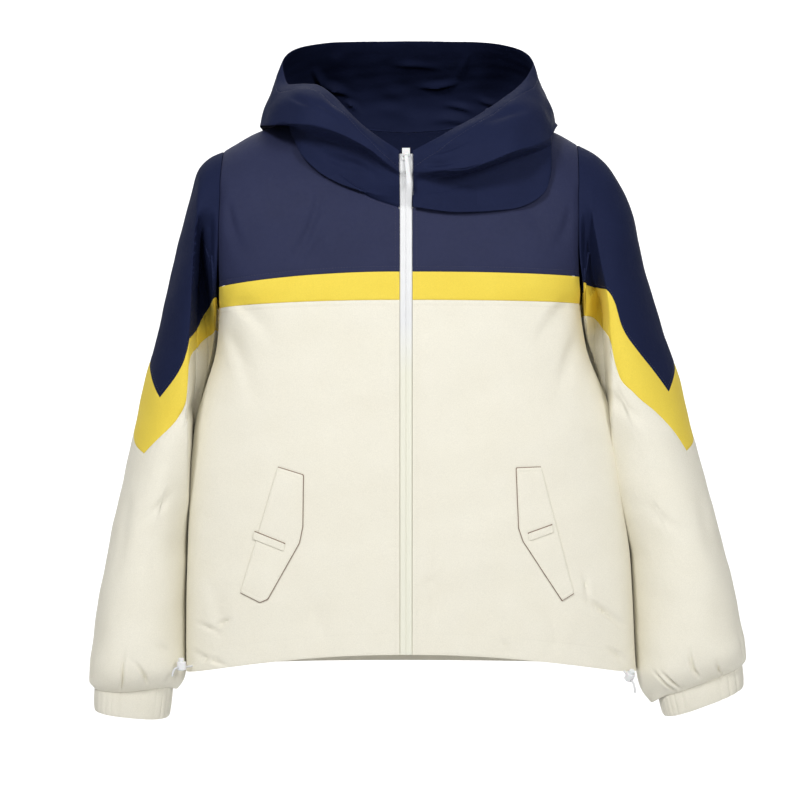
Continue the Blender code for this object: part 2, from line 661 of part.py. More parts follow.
def neckline(side):
    """Shares of the way round the neck, and the yokes' own points there, from the zip to the back."""
    v = np.linspace(0, 1, YOKE_ROWS + 1)
    front_v, back_v = (v[v >= straight - 1e-6] for straight in (FRONT_STRAIGHT, BACK_STRAIGHT))
    front = yoke_places(side, "front")[-len(front_v) :, 0]
    back = yoke_places(side, "back")[-len(back_v) :, 0]
    ahead, _ = torso("front", SIDES[side] * front[:, 0], front[:, 1])
    behind, _ = torso("back", SIDES[side] * back[:, 0], back[:, 1])
    front_shares = NECK_POINT_SHARE * (front_v - FRONT_STRAIGHT) / (1 - FRONT_STRAIGHT)
    back_shares = 1 - (1 - NECK_POINT_SHARE) * (back_v - BACK_STRAIGHT) / (1 - BACK_STRAIGHT)
    shares = np.concatenate([front_shares[:-1], back_shares[::-1]])
    return shares, np.concatenate([ahead[:-1], behind[::-1]])


def hood_half(side, shares, profile):
    """A grid of one side of the hood: a row for each place up the profile, a column for each share."""
    table = np.array(HOOD, float)
    table[..., 0] *= SIDES[side]
    if side == "left":
        table[1:, :, 0] *= HOOD_LEFT_WIDER
        table[1:3, 2, 2] -= HOOD_LEFT_ROLL_DROP
    seam_shares, seam_points = neckline(side)
    seam = np.stack([np.interp(shares, seam_shares, seam_points[:, k]) for k in range(3)], axis=-1)
    seam[:, 2] += SEAM
    levels = np.arange(len(HOOD_POINTS) + 1)
    curves = [seam] + [
        np.stack([smooth(shares, HOOD_SHARES, table[:, i, k]) for k in range(3)], axis=-1)
        for i in range(len(HOOD_POINTS))
    ]
    curves = np.array(curves)
    grid = np.empty((len(profile), len(shares), 3))
    for j in range(len(shares)):
        for k in range(3):
            grid[:, j, k] = smooth(profile, levels, curves[:, j, k])
    return grid


def grid_normals(grid):
    """Normals of an open grid from its own neighbours."""
    rows, cols = np.gradient(grid, axis=0), np.gradient(grid, axis=1)
    return unit(np.cross(rows, cols))


def make_hood():
    """Two sides, each cut in two over the shoulder, and a centre panel, from one surface."""
    seams, _ = neckline("right")
    extra = (seams[1:] + seams[:-1]) / 2
    shares = np.unique(np.round(np.concatenate([seams, extra[extra > NECK_POINT_SHARE]]), 5))
    halves = {side: hood_half(side, shares, HOOD_PROFILE) for side in SIDES}
    whole = np.concatenate([halves["right"], halves["left"][:, -2::-1]], axis=1)
    normal = grid_normals(whole)
    count = whole.shape[1]
    side_seam = int(np.searchsorted(shares, NECK_POINT_SHARE - 1e-4))
    cut = int(np.searchsorted(shares, HOOD_CENTRE_FROM))
    edges = (0, side_seam, cut, count - 1 - cut, count - 1 - side_seam, count - 1)
    names = ("hood_right", "hood_back_right", "hood_centre", "hood_back_left", "hood_left")
    for name, first, last in zip(names, edges, edges[1:]):
        points, normals = whole[:, first : last + 1].copy(), normal[:, first : last + 1]
        gap_at_ends(points, first > 0, last < count - 1)
        wall(name, "navy", points, normals)


# What lies on the front


def lifted(side, out, z, gap):
    points, normal = torso("front", SIDES[side] * np.asarray(out, float), np.asarray(z, float))
    return points + normal * gap, normal


def patch_on_front(name, material, side, table, gap, thickness):
    """A flat piece on a front panel, out of an outline of corners round a fan of rings."""
    corners = np.stack([table["out"], table["height"]], axis=-1)
    halfway = (corners + np.roll(corners, -1, axis=0)) / 2
    rim = np.stack([corners, halfway], axis=1).reshape(-1, 2)
    middle = corners.mean(axis=0)
    rings = np.array([middle + (rim - middle) * share for share in (1.0, 0.5)])
    points, normal = lifted(side, rings[..., 0], rings[..., 1], gap + thickness)
    centre, centre_normal = lifted(side, middle[0], middle[1], gap + thickness)
    bm = bmesh.new()
    shells = []
    for drop in (0.0, thickness):
        places = points - normal * drop
        grid = [[bm.verts.new(place) for place in ring] for ring in places]
        tip = bm.verts.new(centre - centre_normal * drop)
        shells.append(grid)
        count = len(rim)
        for j in range(count):
            k = (j + 1) % count
            for low, high in zip(grid, grid[1:]):
                bm.faces.new((low[j], low[k], high[k], high[j]))
            bm.faces.new((grid[-1][j], grid[-1][k], tip))
    for j in range(len(rim)):
        k = (j + 1) % len(rim)
        bm.faces.new((shells[0][0][j], shells[0][0][k], shells[1][0][k], shells[1][0][j]))
    return from_bmesh(name, material, bm)


def make_pockets(side):
    """A five-sided flap over each slanted pocket, sewn along its outer edge, and the tab on it."""
    patch_on_front(f"pocket_flap_{side}", "cream", side, FLAP[side], 2 * SEAM, FLAP_WALL)
    patch_on_front(f"flap_tab_{side}", "cream", side, FLAP_TAB[side], 3 * SEAM + FLAP_WALL, TAB_THICKNESS)


# The zip


def centre_front():
    """(y, z) points up the middle of the front, from the hem over the body to the top of the hood."""
    heights = np.linspace(HEM_FRONT, NECK_FRONT, 12)
    body, _ = torso("front", np.full_like(heights, ZIP_EDGE), heights)
    edge = hood_half("right", np.array([0.0]), HOOD_PROFILE)[1:, 0]
    return np.concatenate([body[:, 1:], edge[:, 1:]])


def make_zip():
    """Two tapes that meet at the centre, each level with the front beside it."""
    path = centre_front()
    tangent = np.gradient(path, axis=0)
    normal = unit(np.stack([-tangent[:, 1], tangent[:, 0]], axis=-1))
    for side, sign in SIDES.items():
        out = np.linspace(SEAM / 2, ZIP_EDGE - SEAM / 2, 3)
        points = np.empty((len(path), len(out), 3))
        points[..., 0] = sign * out[None]
        points[..., 1:] = path[:, None]
        normals = np.zeros_like(points)
        normals[..., 1:] = normal[:, None]
        wall(f"zip_tape_{side}", "zip_tape", points, normals, thickness=TAPE_WALL)


def box(bm, low, high):
    """A block between two corners."""
    low, high = Vector(low), Vector(high)
    made = bmesh.ops.create_cube(bm, size=1.0)["verts"]
    bmesh.ops.scale(bm, vec=high - low, verts=made)
    bmesh.ops.translate(bm, vec=(low + high) / 2, verts=made)


def boolean(target, cutters, operation):
    """Joins or cuts an object with others, and takes the others away."""
    for cutter in cutters:
        cutter.hide_render = True
        cutter.display_type = "WIRE"
        modifier = target.modifiers.new(operation.lower(), "BOOLEAN")
        modifier.operation = operation
        modifier.solver = "EXACT"
        modifier.object = cutter
    return target


def cylinder(name, material, radius, start, end, segments=20):
    """A closed cylinder between two points."""
    start, end = Vector(start), Vector(end)
    bm = bmesh.new()
    bmesh.ops.create_cone(
        bm, cap_ends=True, segments=segments, radius1=radius, radius2=radius, depth=(end - start).length
    )
    turn = Vector((0, 0, 1)).rotation_difference(end - start).to_matrix()
    bmesh.ops.rotate(bm, cent=(0, 0, 0), matrix=turn, verts=bm.verts)
    bmesh.ops.translate(bm, vec=(start + end) / 2, verts=bm.verts)
    return from_bmesh(name, material, bm)


def make_slider():
    """A slider at the top of the zip: plates in front and behind, joined over the tapes' ends."""
    top, low, half = SLIDER_TOP, SLIDER_TOP - SLIDER_HEIGHT, SLIDER_HALF_WIDTH
    back_front, back_back = SLIDER_BACK
    face = SLIDER_FACE - PLATE
    ear_front, ear_back = PIVOT_Y - EAR_FRONT, face + 1
    ear_low, ear_top = PIVOT_Z - EAR_HALF_HEIGHT, PIVOT_Z + EAR_HALF_HEIGHT
    neck_low, neck_top = top - NECK_FOOT, top - NECK_TOP
    blocks = (
        ("front_plate", (-half, face, low), (half, SLIDER_FACE, top)),
        ("neck", (-NECK_HALF, SLIDER_FACE - 1, neck_low), (NECK_HALF, back_front + 1, neck_top)),
        ("ear_right", (-EAR_OUTER, ear_front, ear_low), (-EAR_INNER, ear_back, ear_top)),
        ("ear_left", (EAR_INNER, ear_front, ear_low), (EAR_OUTER, ear_back, ear_top)),
    )
    bm = bmesh.new()
    box(bm, (-half, back_front, low), (half, back_back, top))
    slider = from_bmesh("zip_slider", "white_plastic", bm)
    guides = []
    for name, start, end in blocks:
        block = bmesh.new()
        box(block, start, end)
        guides.append(from_bmesh(f"guide_{name}", "white_plastic", block))
    reach = (EAR_INNER + EAR_OUTER) / 2
    ends = (-reach, PIVOT_Y, PIVOT_Z), (reach, PIVOT_Y, PIVOT_Z)
    guides.append(cylinder("guide_pin", "white_plastic", PIN_RADIUS, *ends, 12))
    boolean(slider, guides, "UNION")


def make_pull():
    """The pull tab, with an eye that turns on the slider's pin; it hangs straight down."""
    half = EAR_INNER - SEAM
    eye = cylinder("zip_pull", "white_plastic", EYE_RADIUS, (-half, 0, 0), (half, 0, 0))
    bm = bmesh.new()
    low = -PULL_LENGTH - EYE_RADIUS
    wide, deep = PULL_WIDTH / 2 - PULL_TAPER, PULL_THICKNESS / 2
    box(bm, (-wide, -deep, low), (wide, deep, -(EYE_BORE + EYE_RADIUS) / 2 + 0.4))
    foot = [v for v in bm.verts if v.co.z < low / 2]
    bmesh.ops.scale(bm, vec=(PULL_WIDTH / 2 / wide, 1, 1), verts=foot)
    lean = Matrix.Rotation(math.radians(-PULL_LEAN), 3, "Y")
    bmesh.ops.rotate(bm, cent=(0, 0, 0), matrix=lean, verts=bm.verts)
    through = [e for e in bm.edges if abs(e.verts[0].co.y - e.verts[1].co.y) > deep]
    corners = [e for e in through if e.verts[0].co.z < low / 2]
    bmesh.ops.bevel(bm, geom=corners, offset=PULL_ROUNDING, segments=4, affect="EDGES")
    blade = from_bmesh("guide_blade", "white_plastic", bm)
    bore = cylinder("guide_bore", "white_plastic", EYE_BORE, (-half - 1, 0, 0), (half + 1, 0, 0), 16)
    boolean(eye, [blade], "UNION")
    boolean(eye, [bore], "DIFFERENCE")
    for obj in (eye, blade, bore):
        obj.location = Vector((0, PIVOT_Y, PIVOT_Z)) * METRE


# The hem's cord locks


def cord_line(side):
    """Where the hem's cord starts and meets its lock, the way it runs, and the lock's upright."""
    start, hole = np.array(CORD_START[side]), np.array(LOCK_HOLE[side])
    towards = unit(hole - start)
    upright = unit(np.array([0, 0, 1.0]) - towards * towards[2])
    return start, hole, towards, upright


def rounded(obj, radius):
    """Rounds an object's sharp edges."""
    bevel = obj.modifiers.new("rounded", "BEVEL")
    bevel.width, bevel.segments, bevel.limit_method = radius * METRE, 3, "ANGLE"


def make_cord_lock(side):
    """A barrel with a sprung button in its top, and the short end of cord that runs through it."""
    start, hole, towards, upright = cord_line(side)
    middle = hole + upright * LOCK_HOLE_DEPTH
    top, foot = middle + upright * LOCK_HEIGHT / 2, middle - upright * LOCK_HEIGHT / 2
    barrel = cylinder(f"cord_lock_{side}", "white_plastic", LOCK_RADIUS, foot, top, 28)
    rounded(barrel, LOCK_ROUNDING)
    floor, above = top - upright * WELL_DEPTH, top + upright * 3
    well = cylinder(f"guide_well_{side}", "white_plastic", BUTTON_RADIUS + SEAM, floor, above, 24)
    reach = towards * (LOCK_RADIUS + 2)
    bore = CORD_WIDTH / 2 + SEAM
    tunnel = cylinder(f"guide_tunnel_{side}", "white_plastic", bore, hole - reach, hole + reach, 16)
    boolean(barrel, [well, tunnel], "DIFFERENCE")
    ends = upright * -BUTTON_SUNK, upright * BUTTON_SHOWS
    button = cylinder(f"lock_button_{side}", "white_plastic", BUTTON_RADIUS, *ends, 24)
    rounded(button, BUTTON_ROUNDING)
    button.location = Vector(top) * METRE
    make_hem_cord(side, start, hole, towards)


def make_hem_cord(side, start, hole, towards):
    """The cord as a tube: straight through the lock, then bending down to its free end."""
    leaves = hole + towards * (LOCK_RADIUS + 1.0)
    straight = [start + (leaves - start) * share for share in np.linspace(0, 1, 6)]
    knee = leaves + towards * CORD_TAIL * 0.45
    tip = knee + towards * 1.0 - (0, 0, CORD_TAIL * 0.75)
    turn = np.linspace(0, 1, 7)[1:]
    bend = [leaves * (1 - t) ** 2 + knee * 2 * t * (1 - t) + tip * t * t for t in turn]
    curve = bpy.data.curves.new(f"hem_cord_{side}", "CURVE")
    curve.dimensions = "3D"
    curve.bevel_depth = CORD_WIDTH / 2 * METRE
    curve.bevel_resolution = 2
    curve.use_fill_caps = True
    spline = curve.splines.new("POLY")
    points = straight + bend
    spline.points.add(len(points) - 1)
    for place, point in zip(spline.points, points):
        place.co = (*(point * METRE), 1)
    new_object(f"hem_cord_{side}", "white_cord", curve)


def main():
    for obj in list(bpy.data.objects):
        bpy.data.objects.remove(obj, do_unlink=True)
    make_body()
    for side in SIDES:
        make_sleeve(side)
        make_cuff(side)
        make_pockets(side)
        make_cord_lock(side)
    make_hood()
    make_zip()
    make_slider()
    make_pull()


main()
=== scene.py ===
"""A hooded, zip-front nylon windbreaker, filled out as if worn, dressed over its frame of solids.

The front faces -Y, +Z is up and +X is the wearer's left. Shapes are worked out in millimetres as
arrays of points and turned into metres when a mesh is made. Cloth pieces are grids on four kinds of
surface: the body, a sleeve, a cuff and the hood. Creases are soft troughs and ridges laid on them.
"""

import math

import bpy
import numpy as np
from bpy.props import FloatProperty, FloatVectorProperty, PointerProperty
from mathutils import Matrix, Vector


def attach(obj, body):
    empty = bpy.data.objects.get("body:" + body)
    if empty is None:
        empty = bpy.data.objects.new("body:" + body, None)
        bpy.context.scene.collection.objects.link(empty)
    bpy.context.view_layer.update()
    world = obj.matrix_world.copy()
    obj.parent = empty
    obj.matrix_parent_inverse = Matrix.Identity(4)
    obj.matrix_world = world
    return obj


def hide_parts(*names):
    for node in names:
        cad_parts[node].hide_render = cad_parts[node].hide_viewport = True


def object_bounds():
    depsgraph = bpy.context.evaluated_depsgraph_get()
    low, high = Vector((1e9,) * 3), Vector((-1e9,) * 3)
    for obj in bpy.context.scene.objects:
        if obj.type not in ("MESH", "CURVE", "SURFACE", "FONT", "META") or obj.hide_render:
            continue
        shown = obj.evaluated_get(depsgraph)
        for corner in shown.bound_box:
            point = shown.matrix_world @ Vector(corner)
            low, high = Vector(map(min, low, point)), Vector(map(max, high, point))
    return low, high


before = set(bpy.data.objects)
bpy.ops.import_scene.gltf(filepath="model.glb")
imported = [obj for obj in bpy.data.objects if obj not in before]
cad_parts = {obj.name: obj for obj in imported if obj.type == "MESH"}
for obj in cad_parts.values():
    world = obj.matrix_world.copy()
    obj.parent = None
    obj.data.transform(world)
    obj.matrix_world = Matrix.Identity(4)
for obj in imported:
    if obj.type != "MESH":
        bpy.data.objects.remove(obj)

bl_info = {
    "name": "Hooded Windbreaker Jacket",
    "version": (1, 0, 0),
    "blender": (4, 5, 0),
    "location": "View3D > Sidebar > Jacket",
    "description": "Builds a hooded nylon windbreaker piece by piece around its solid frame",
    "category": "Add Mesh",
}

MM = 0.001
SEAM = 0.3  # gap between two pieces sewn together
BESIDE_GAP = 0.9  # what is left between the body's side and the sleeve that hangs against it
BESIDE_FROM, BESIDE_EASES = -300, 60  # below this height it does, easing in over so much
HANGING_RINGS = 6  # the first of the sleeve's rings that is past the underarm
BESIDE_REACH, BESIDE_ANGLE = 26, 24  # how far round it shows: mm on the body, degrees on the sleeve
BODY_NAME = "garment"
SIDES = {"right": -1.0, "left": 1.0}


def bounds_list():
    """The object's box as plain lists of numbers, in metres."""
    return [[float(v) for v in corner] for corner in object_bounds()]


CAD_BOUNDS = bounds_list()


def linear(hex_colour):
    """sRGB hex to linear red, green, blue: c/12.92 below 0.04045, else ((c + 0.055)/1.055)^2.4."""
    values = [int(hex_colour[i : i + 2], 16) / 255 for i in (1, 3, 5)]
    return tuple(c / 12.92 if c <= 0.04045 else ((c + 0.055) / 1.055) ** 2.4 for c in values)


# ------------------------------------------------------------
# Sizes of the cut, in millimetres
# ------------------------------------------------------------


def columns(names, rows):
    """A table as a dictionary with an array for each named column."""
    return dict(zip(names.split(), np.array(rows, float).T))


ZIP_EDGE = 7.2
HEM_FRONT, HEM_SIDE, HEM_BACK = -646.0, -674.0, -672.0
NECK_FRONT, NECK_BACK, NECK_HALF_WIDTH, NECK_POINT = -126.0, -24.0, 95.0, -3.0
BAND_TOP, BAND_BOTTOM = -201.0, -234.0
BACK_BAND_TOP, BACK_BAND_BOTTOM = -205.0, -238.0
SHOULDER_ROUND, NECK_ROUND, SHOULDER_REACH = 95.0, 190.0, 210.0
FRONT_STRAIGHT, BACK_STRAIGHT, NECK_POINT_SHARE = 0.25, 0.625, 0.48
HALF_WIDTH = 235.0  # of the body, about, to space the columns of its grids
GRID_STEP, BACK_GRID_STEP = 3.0, 4.2  # between the lines of a grid
HOOD_CENTRE_FROM = 0.913
NECK_POINTS = 41  # along each yoke's half of the neck seam

BODY = columns(
    "height right left front back square",
    [
        (40, 241, 226, 66, 70, 3.4),
        (-52, 240, 225, 80, 84, 3.6),
        (-126, 239, 224, 92, 96, 3.6),
        (-190, 232, 216, 102, 102, 3.4),
        (-220, 227, 212, 105, 104, 3.2),
        (-236, 223.4, 208, 106, 104, 3.0),
        (-241, 222.5, 208.4, 106, 104, 3.0),
        (-285, 226, 215, 106, 103, 2.8),
        (-335, 239, 233, 105, 102, 2.6),
        (-385, 252, 250, 104, 101, 2.5),
        (-430, 257, 255, 103, 100, 2.5),
        (-550, 259, 266, 100, 98, 2.5),
        (-700, 261, 271, 96, 96, 2.5),
    ],
)
SHOULDER = columns(
    "out height",
    [(0, 28), (60, 12), (95, -3), (140, -16), (180, -30), (205, -44), (220, -53), (245, -70)],
)
ARMHOLE = columns(
    "height right left",
    [(-40, 217, 205), (-100, 220, 204), (-170, 222, 204), (-220, 222.4, 207), (-250, 222.6, 208.4)],
)
UNDERARM = {"right": -241.0, "left": -236.0}
BAND_SIDE_TOP = {"right": -217.0, "left": -205.0}
NECKLINE_FRONT = columns(
    "out height", [(ZIP_EDGE, NECK_FRONT), (45, -112), (72, -84), (88, -46), (NECK_HALF_WIDTH, NECK_POINT)]
)
NECKLINE_BACK = columns(
    "out height", [(0, NECK_BACK), (40, -22), (75, -15), (NECK_HALF_WIDTH, NECK_POINT)]
)
RING = "outer_x outer_z inner_x inner_z depth middle lean back_lean square"
SLEEVE = {
    "right": columns(
        RING,
        [
            (219, -53, 222, -241, 67, 0, 0, 0, 2.0),
            (234, -60, 223.5, -243, 69, 0, 0, 0, 2.0),
            (248, -74, 225, -248, 71, 1, 2, 4, 2.0),
            (256, -97, 226.5, -255, 73, 2, 4, 8, 2.0),
            (264, -125, 228, -265, 74, 3, 7, 12, 1.95),
            (273, -160, 230, -279, 75, 4, 10, 16, 1.9),
            (284, -206, 233, -298, 75, 4, 12, 20, 1.85),
            (297, -265, 241, -328, 75, 4, 14, 25, 1.8),
            (314, -328, 252.5, -370, 74, 4, 14, 25, 1.8),
            (329, -396, 260.5, -424, 72, 4, 8, 19, 1.85),
            (342, -456, 263, -478, 70, 4, 4, 13, 1.95),
            (354, -516, 265, -534, 68, 4, 1, 10, 2.0),
            (366, -576, 267, -592, 67, 4, 0, 8, 2.05),
            (375, -630, 267, -640, 66, 4, 0, 6, 2.1),
            (379.5, -666, 266, -668, 62, 4, 0, 4, 2.4),
            (380, -684, 270, -683, 51, 3, 0, 2, 2.4),
            (373, -693, 279, -689, 39, 2, 0, 0, 2.7),
        ],
    ),
    "left": columns(
        RING,
        [
            (205, -45, 208, -236, 67, 0, 0, 0, 2.0),
            (224, -55, 209.5, -239, 69, 0, 0, 0, 2.0),
            (242, -70, 211, -245, 71, 1, 2, 4, 2.0),
            (257, -92, 213, -253, 73, 2, 4, 8, 2.0),
            (270, -120, 215, -264, 74, 3, 7, 12, 1.95),
            (280, -160, 218, -279, 75, 4, 10, 16, 1.9),
            (291, -207, 224.5, -298, 75, 4, 12, 20, 1.85),
            (309, -265, 235.5, -328, 75, 4, 14, 25, 1.8),
            (330, -328, 250.5, -370, 74, 4, 14, 25, 1.8),
            (345, -394, 259.5, -424, 72, 4, 8, 19, 1.85),
            (362, -452, 264.5, -480, 70, 4, 4, 13, 1.95),
            (378, -512, 273, -542, 68, 4, 1, 10, 2.0),
            (393, -568, 277, -602, 67, 4, 0, 8, 2.05),
            (402, -616, 280, -652, 66, 4, 0, 6, 2.1),
            (406, -640, 284, -680, 62, 4, 0, 4, 2.4),
            (407, -656, 292, -694, 51, 3, 0, 2, 2.4),
            (403, -664, 302, -700, 39, 2, 0, 0, 2.7),
        ],
    ),
}
CUFF = {
    "right": columns(
        RING, [(373, -693, 279, -689, 39, 2, 0, 0, 2.7), (373.5, -718, 283, -727, 37.5, 2, 0, 0, 2.7)]
    ),
    "left": columns(
        RING, [(403, -664, 302, -700, 39, 2, 0, 0, 2.7), (405, -690, 308, -726, 37.5, 2, 0, 0, 2.7)]
    ),
}
CUFF_PITCH = 5.0
TUCKED_IN, TUCKED_UNDER = 4.0, 2.2  # how far the cuff's top reaches up inside the sleeve's foot
POINT_ANGLE = {"right": 52.0, "left": 39.0}
SLEEVE_SEAMS = {
    "right": columns(
        "angle upper lower",
        [
            (-180, -225, -266),
            (-150, -229, -270),
            (-90, -243, -296),
            (-40, -266, -340),
            (0, -303, -386),
            (22, -320, -401),
            (POINT_ANGLE["right"], -347, -413),
            (70, -326, -394),
            (88, -302, -372),
            (100, -284, -352),
            (106, -258, -292),
            (120, -241, -278),
            (150, -229, -270),
            (180, -225, -266),
        ],
    ),
    "left": columns(
        "angle upper lower",
        [
            (-180, -207, -250),
            (-150, -210, -254),
            (-90, -228, -288),
            (-40, -258, -342),
            (-5, -301, -386),
            (19, -320, -401),
            (POINT_ANGLE["left"], -340, -410),
            (55, -312, -380),
            (67, -291, -363),
            (82, -262, -348),
            (87, -236, -342),
            (101, -218, -326),
            (109, -216, -266),
            (132, -212, -250),
            (180, -207, -250),
        ],
    ),
}
UPPER_SLEEVE_ENDS = 150.0
HOOD_SHARES = (0.00, 0.14, 0.30, 0.41, 0.48, 0.64, 0.82, 1.00)
# Each profile climbs the stand from the neck seam, turns back under the roll, rounds the roll's edge
# and runs up its face to the rim; behind, the same points are the bag's outer side.
HOOD = [
    # (out, y, z) of each point, for each share round the neck
    [
        (7.6, -95, -113), (7.8, -100, -100), (8, -101, -91), (8, -106, -85),
        (8, -106.5, -78), (8, -106, -70), (8, -105, -61),
    ],
    [
        (46, -92, -108), (68, -89, -97), (61, -91, -60), (54, -119, -54),
        (50, -117, -44), (48, -108, -36), (47, -98, -33),
    ],
    [
        (92, -78, -70), (122, -76, -62), (115, -80, -38), (109, -117, -32),
        (111, -110, -8), (113, -90, 11), (108, -66, 22),
    ],
    [
        (98, -32, -24), (138, -34, -21), (140, -34, -21), (159, -66, -27),
        (155, -58, -4), (147, -44, 16), (139, -34, 25),
    ],
    [
        (100, -3, -1), (140, -6, 1), (152, -8, -4), (174, -12, -23),
        (170, -6, -4), (158, 0, 34), (149, 4, 55),
    ],
    [
        (84, 38, -10), (126, 62, -6), (142, 66, -18), (164, 74, -36),
        (170, 78, -6), (156, 66, 44), (130, 44, 79),
    ],
    [
        (50, 59, -20), (58, 112, -80), (66, 130, -116), (78, 146, -156),
        (104, 168, -104), (104, 152, 20), (80, 76, 91),
    ],
    [
        (0, 62, -24), (0, 112, -98), (0, 128, -142), (0, 142, -192),
        (0, 178, -130), (0, 166, 10), (0, 84, 93),
    ],
]
# On the left each point reaches further out by these factors, and at some shares hangs this much lower.
# Its foot bags down over the yoke: there the second to the fourth point are these.
HOOD_LEFT_WIDER = (1.0, 1.04, 1.05, 1.035, 1.04, 1.01, 1.03)
HOOD_LEFT_DROP = {
    1: (0, 4, 25, 31, 24, 12, 5),
    2: (0, 18, 28, 30, 26, 22, 19),
    3: (0, 1, 4, 7, 2, -4, -8),
}
HOOD_LEFT_FOOT = {
    0: [(8.6, -97, -126), (8.3, -99, -98), (8, -106, -85)],
    1: [(62, -98, -132), (61, -92, -88), (57, -124, -86)],
    2: [(122, -93, -128), (122, -85, -70), (116, -125, -67)],
    3: [(166, -78, -97), (171, -62, -46), (168, -74, -42)],
}

CORD_START = {"right": (-251.2, -35.3, -665.0), "left": (256.5, -41.9, -668.7)}
LOCK_HOLE = {"right": (-265.0, -47.0, -665.7), "left": (263.3, -52.0, -677.2)}
LOCK_RADIUS = 5.5
CORD_TAIL = 13.0
TAIL_STRAIGHT, TAIL_DROP = 0.45, 0.75  # shares of the cord's tail ahead of the lock, and down from there
# radius of the dark cord that draws a painted shadow line along each flap's edges
SHADOW_LINE_RADIUS = 0.7
# How far the hood's foot stays in front of the yoke, by which point of its profile it does so in
# full, and up to which point it is the foot.
YOKE_CLEARANCE, CLEARED_BY, FOOT_ENDS = 3.0, 0.4, 3.6


# The fold beside each underarm, by rows of the sleeve's table: a ridge at this angle stands this far
# out, and between it and the body the cloth falls back, over this many degrees, to this far in front
# of the shoulder line.
FOLD = "row angle out floor wide"
UNDERARM_FOLD = {
    "right": columns(
        FOLD,
        [
            (0, 66, 238, -58, 26),
            (2, 68, 245, -42, 16),
            (4, 76, 249, -16, 8),
            (5, 86, 251, -4, 6),
            (6, 97, 252.5, 4, 6),
            (7, 103, 254.5, 8, 6),
            (8, 103, 256, 6, 6),
            (9, 120, 256.5, -4, 6),
            (10, 150, 257.5, -14, 6),
        ],
    ),
    "left": columns(
        FOLD,
        [
            (0, 70, 214, -56, 30),
            (2, 76, 220, -46, 26),
            (4, 88, 229, -34, 16),
            (5, 98, 236, -10, 8),
            (6, 104, 239.5, 2, 6),
            (7, 109, 241.5, 8, 6),
            (8, 122, 242, 6, 6),
            (9, 150, 245, -4, 6),
            (10, 165, 252, -12, 6),
        ],
    ),
}


# Creases. Each runs from (x0, z0) to (x1, z1), bowed sideways by bow. Depth is of the trough, and a
# ridge has a negative one. Peak is how far along it is deepest, and skew makes one flank steeper.
# On the body x and z are the front view's; on a sleeve x is the distance round it from its outer
# line (to the front, then the underarm), and on the back the same in mirror image.
CREASE = "x0 z0 x1 z1 bow width depth peak skew"
FRONT_CREASES = columns(
    CREASE,
    [
        (-100, -96, -150, -206, 10, 6, 3.6, 0.35, 0.4),
        (-97, -150, -128, -204, 4, 5, 2.4, 0.4, 0.4),
        (-212, -112, -176, -196, -6, 10, 2.4, 0.2, -0.3),
        (-205, -232, -150, -300, 8, 14, 3.2, 0.15, 0.3),
        (-214, -262, -178, -380, 8, 12, 2.2, 0.2, 0.2),
        (-228, -622, -202, -607, 2, 3.2, 3.6, 0.5, 0.4),
        (-254, -612, -212, -630, 2, 3.2, 4.0, 0.6, 0.4),
        (-258, -645, -202, -664, -2, 3.4, 3.6, 0.5, 0.3),
        (-240, -540, -215, -640, 6, 12, 1.8, 0.7, 0.2),
        (-120, -560, -96, -640, 5, 10, 1.4, 0.7, 0.0),
        (26, -440, 34, -640, 5, 8, 1.8, 0.7, 0.0),
        (20, -546, 30, -578, 3, 3.2, 2.4, 0.5, 0.4),
        (104, -626, 126, -652, 2, 3.2, 3.0, 0.4, 0.2),
        (194, -576, 270, -634, 5, 3.8, 4.6, 0.45, 0.4),
        (204, -546, 213, -596, 3, 3.4, 3.4, 0.5, 0.3),
        (232, -640, 264, -666, 2, 3.4, 3.6, 0.5, 0.3),
        (150, -560, 176, -648, 6, 11, 1.5, 0.8, 0.0),
        (196, -118, 158, -192, 7, 11, 2.2, 0.2, 0.3),
        (128, -104, 164, -180, 6, 12, 1.2, 0.4, 0.0),
        (196, -232, 146, -306, -8, 14, 2.8, 0.15, 0.3),
        (205, -270, 176, -372, -7, 12, 2.0, 0.2, 0.2),
        (60, -250, 92, -420, 10, 26, 1.3, 0.3, 0.0),
        (-60, -250, -40, -400, -8, 24, 1.2, 0.4, 0.0),
    ],
)
BACK_CREASES = columns(
    CREASE,
    [
        (-196, -86, -120, -190, 8, 15, 3.0, 0.2, 0.3),
        (188, -92, 112, -196, -9, 14, 2.8, 0.2, -0.3),
        (-30, -70, -14, -190, 5, 18, 1.6, 0.4, 0.0),
        (-208, -236, -130, -330, 10, 16, 3.6, 0.15, 0.3),
        (200, -236, 118, -322, -11, 16, 3.4, 0.15, -0.3),
        (-214, -290, -160, -420, 8, 14, 2.2, 0.2, 0.2),
        (206, -280, 168, -436, -8, 15, 2.4, 0.2, 0.2),
        (-80, -300, -64, -520, 12, 26, 1.8, 0.5, 0.0),
        (70, -340, 44, -560, -10, 24, 1.6, 0.5, 0.0),
        (-236, -560, -180, -646, 7, 9, 2.6, 0.5, 0.3),
        (232, -548, 186, -652, -7, 10, 2.8, 0.5, -0.3),
        (-60, -590, -52, -668, 3, 9, 1.6, 0.8, 0.0),
        (38, -600, 50, -668, 3, 8, 1.5, 0.8, 0.0),
        (126, -610, 138, -668, 3, 7, 1.4, 0.8, 0.0),
        (-140, -606, -132, -668, -3, 7, 1.6, 0.8, 0.0),
    ],
)
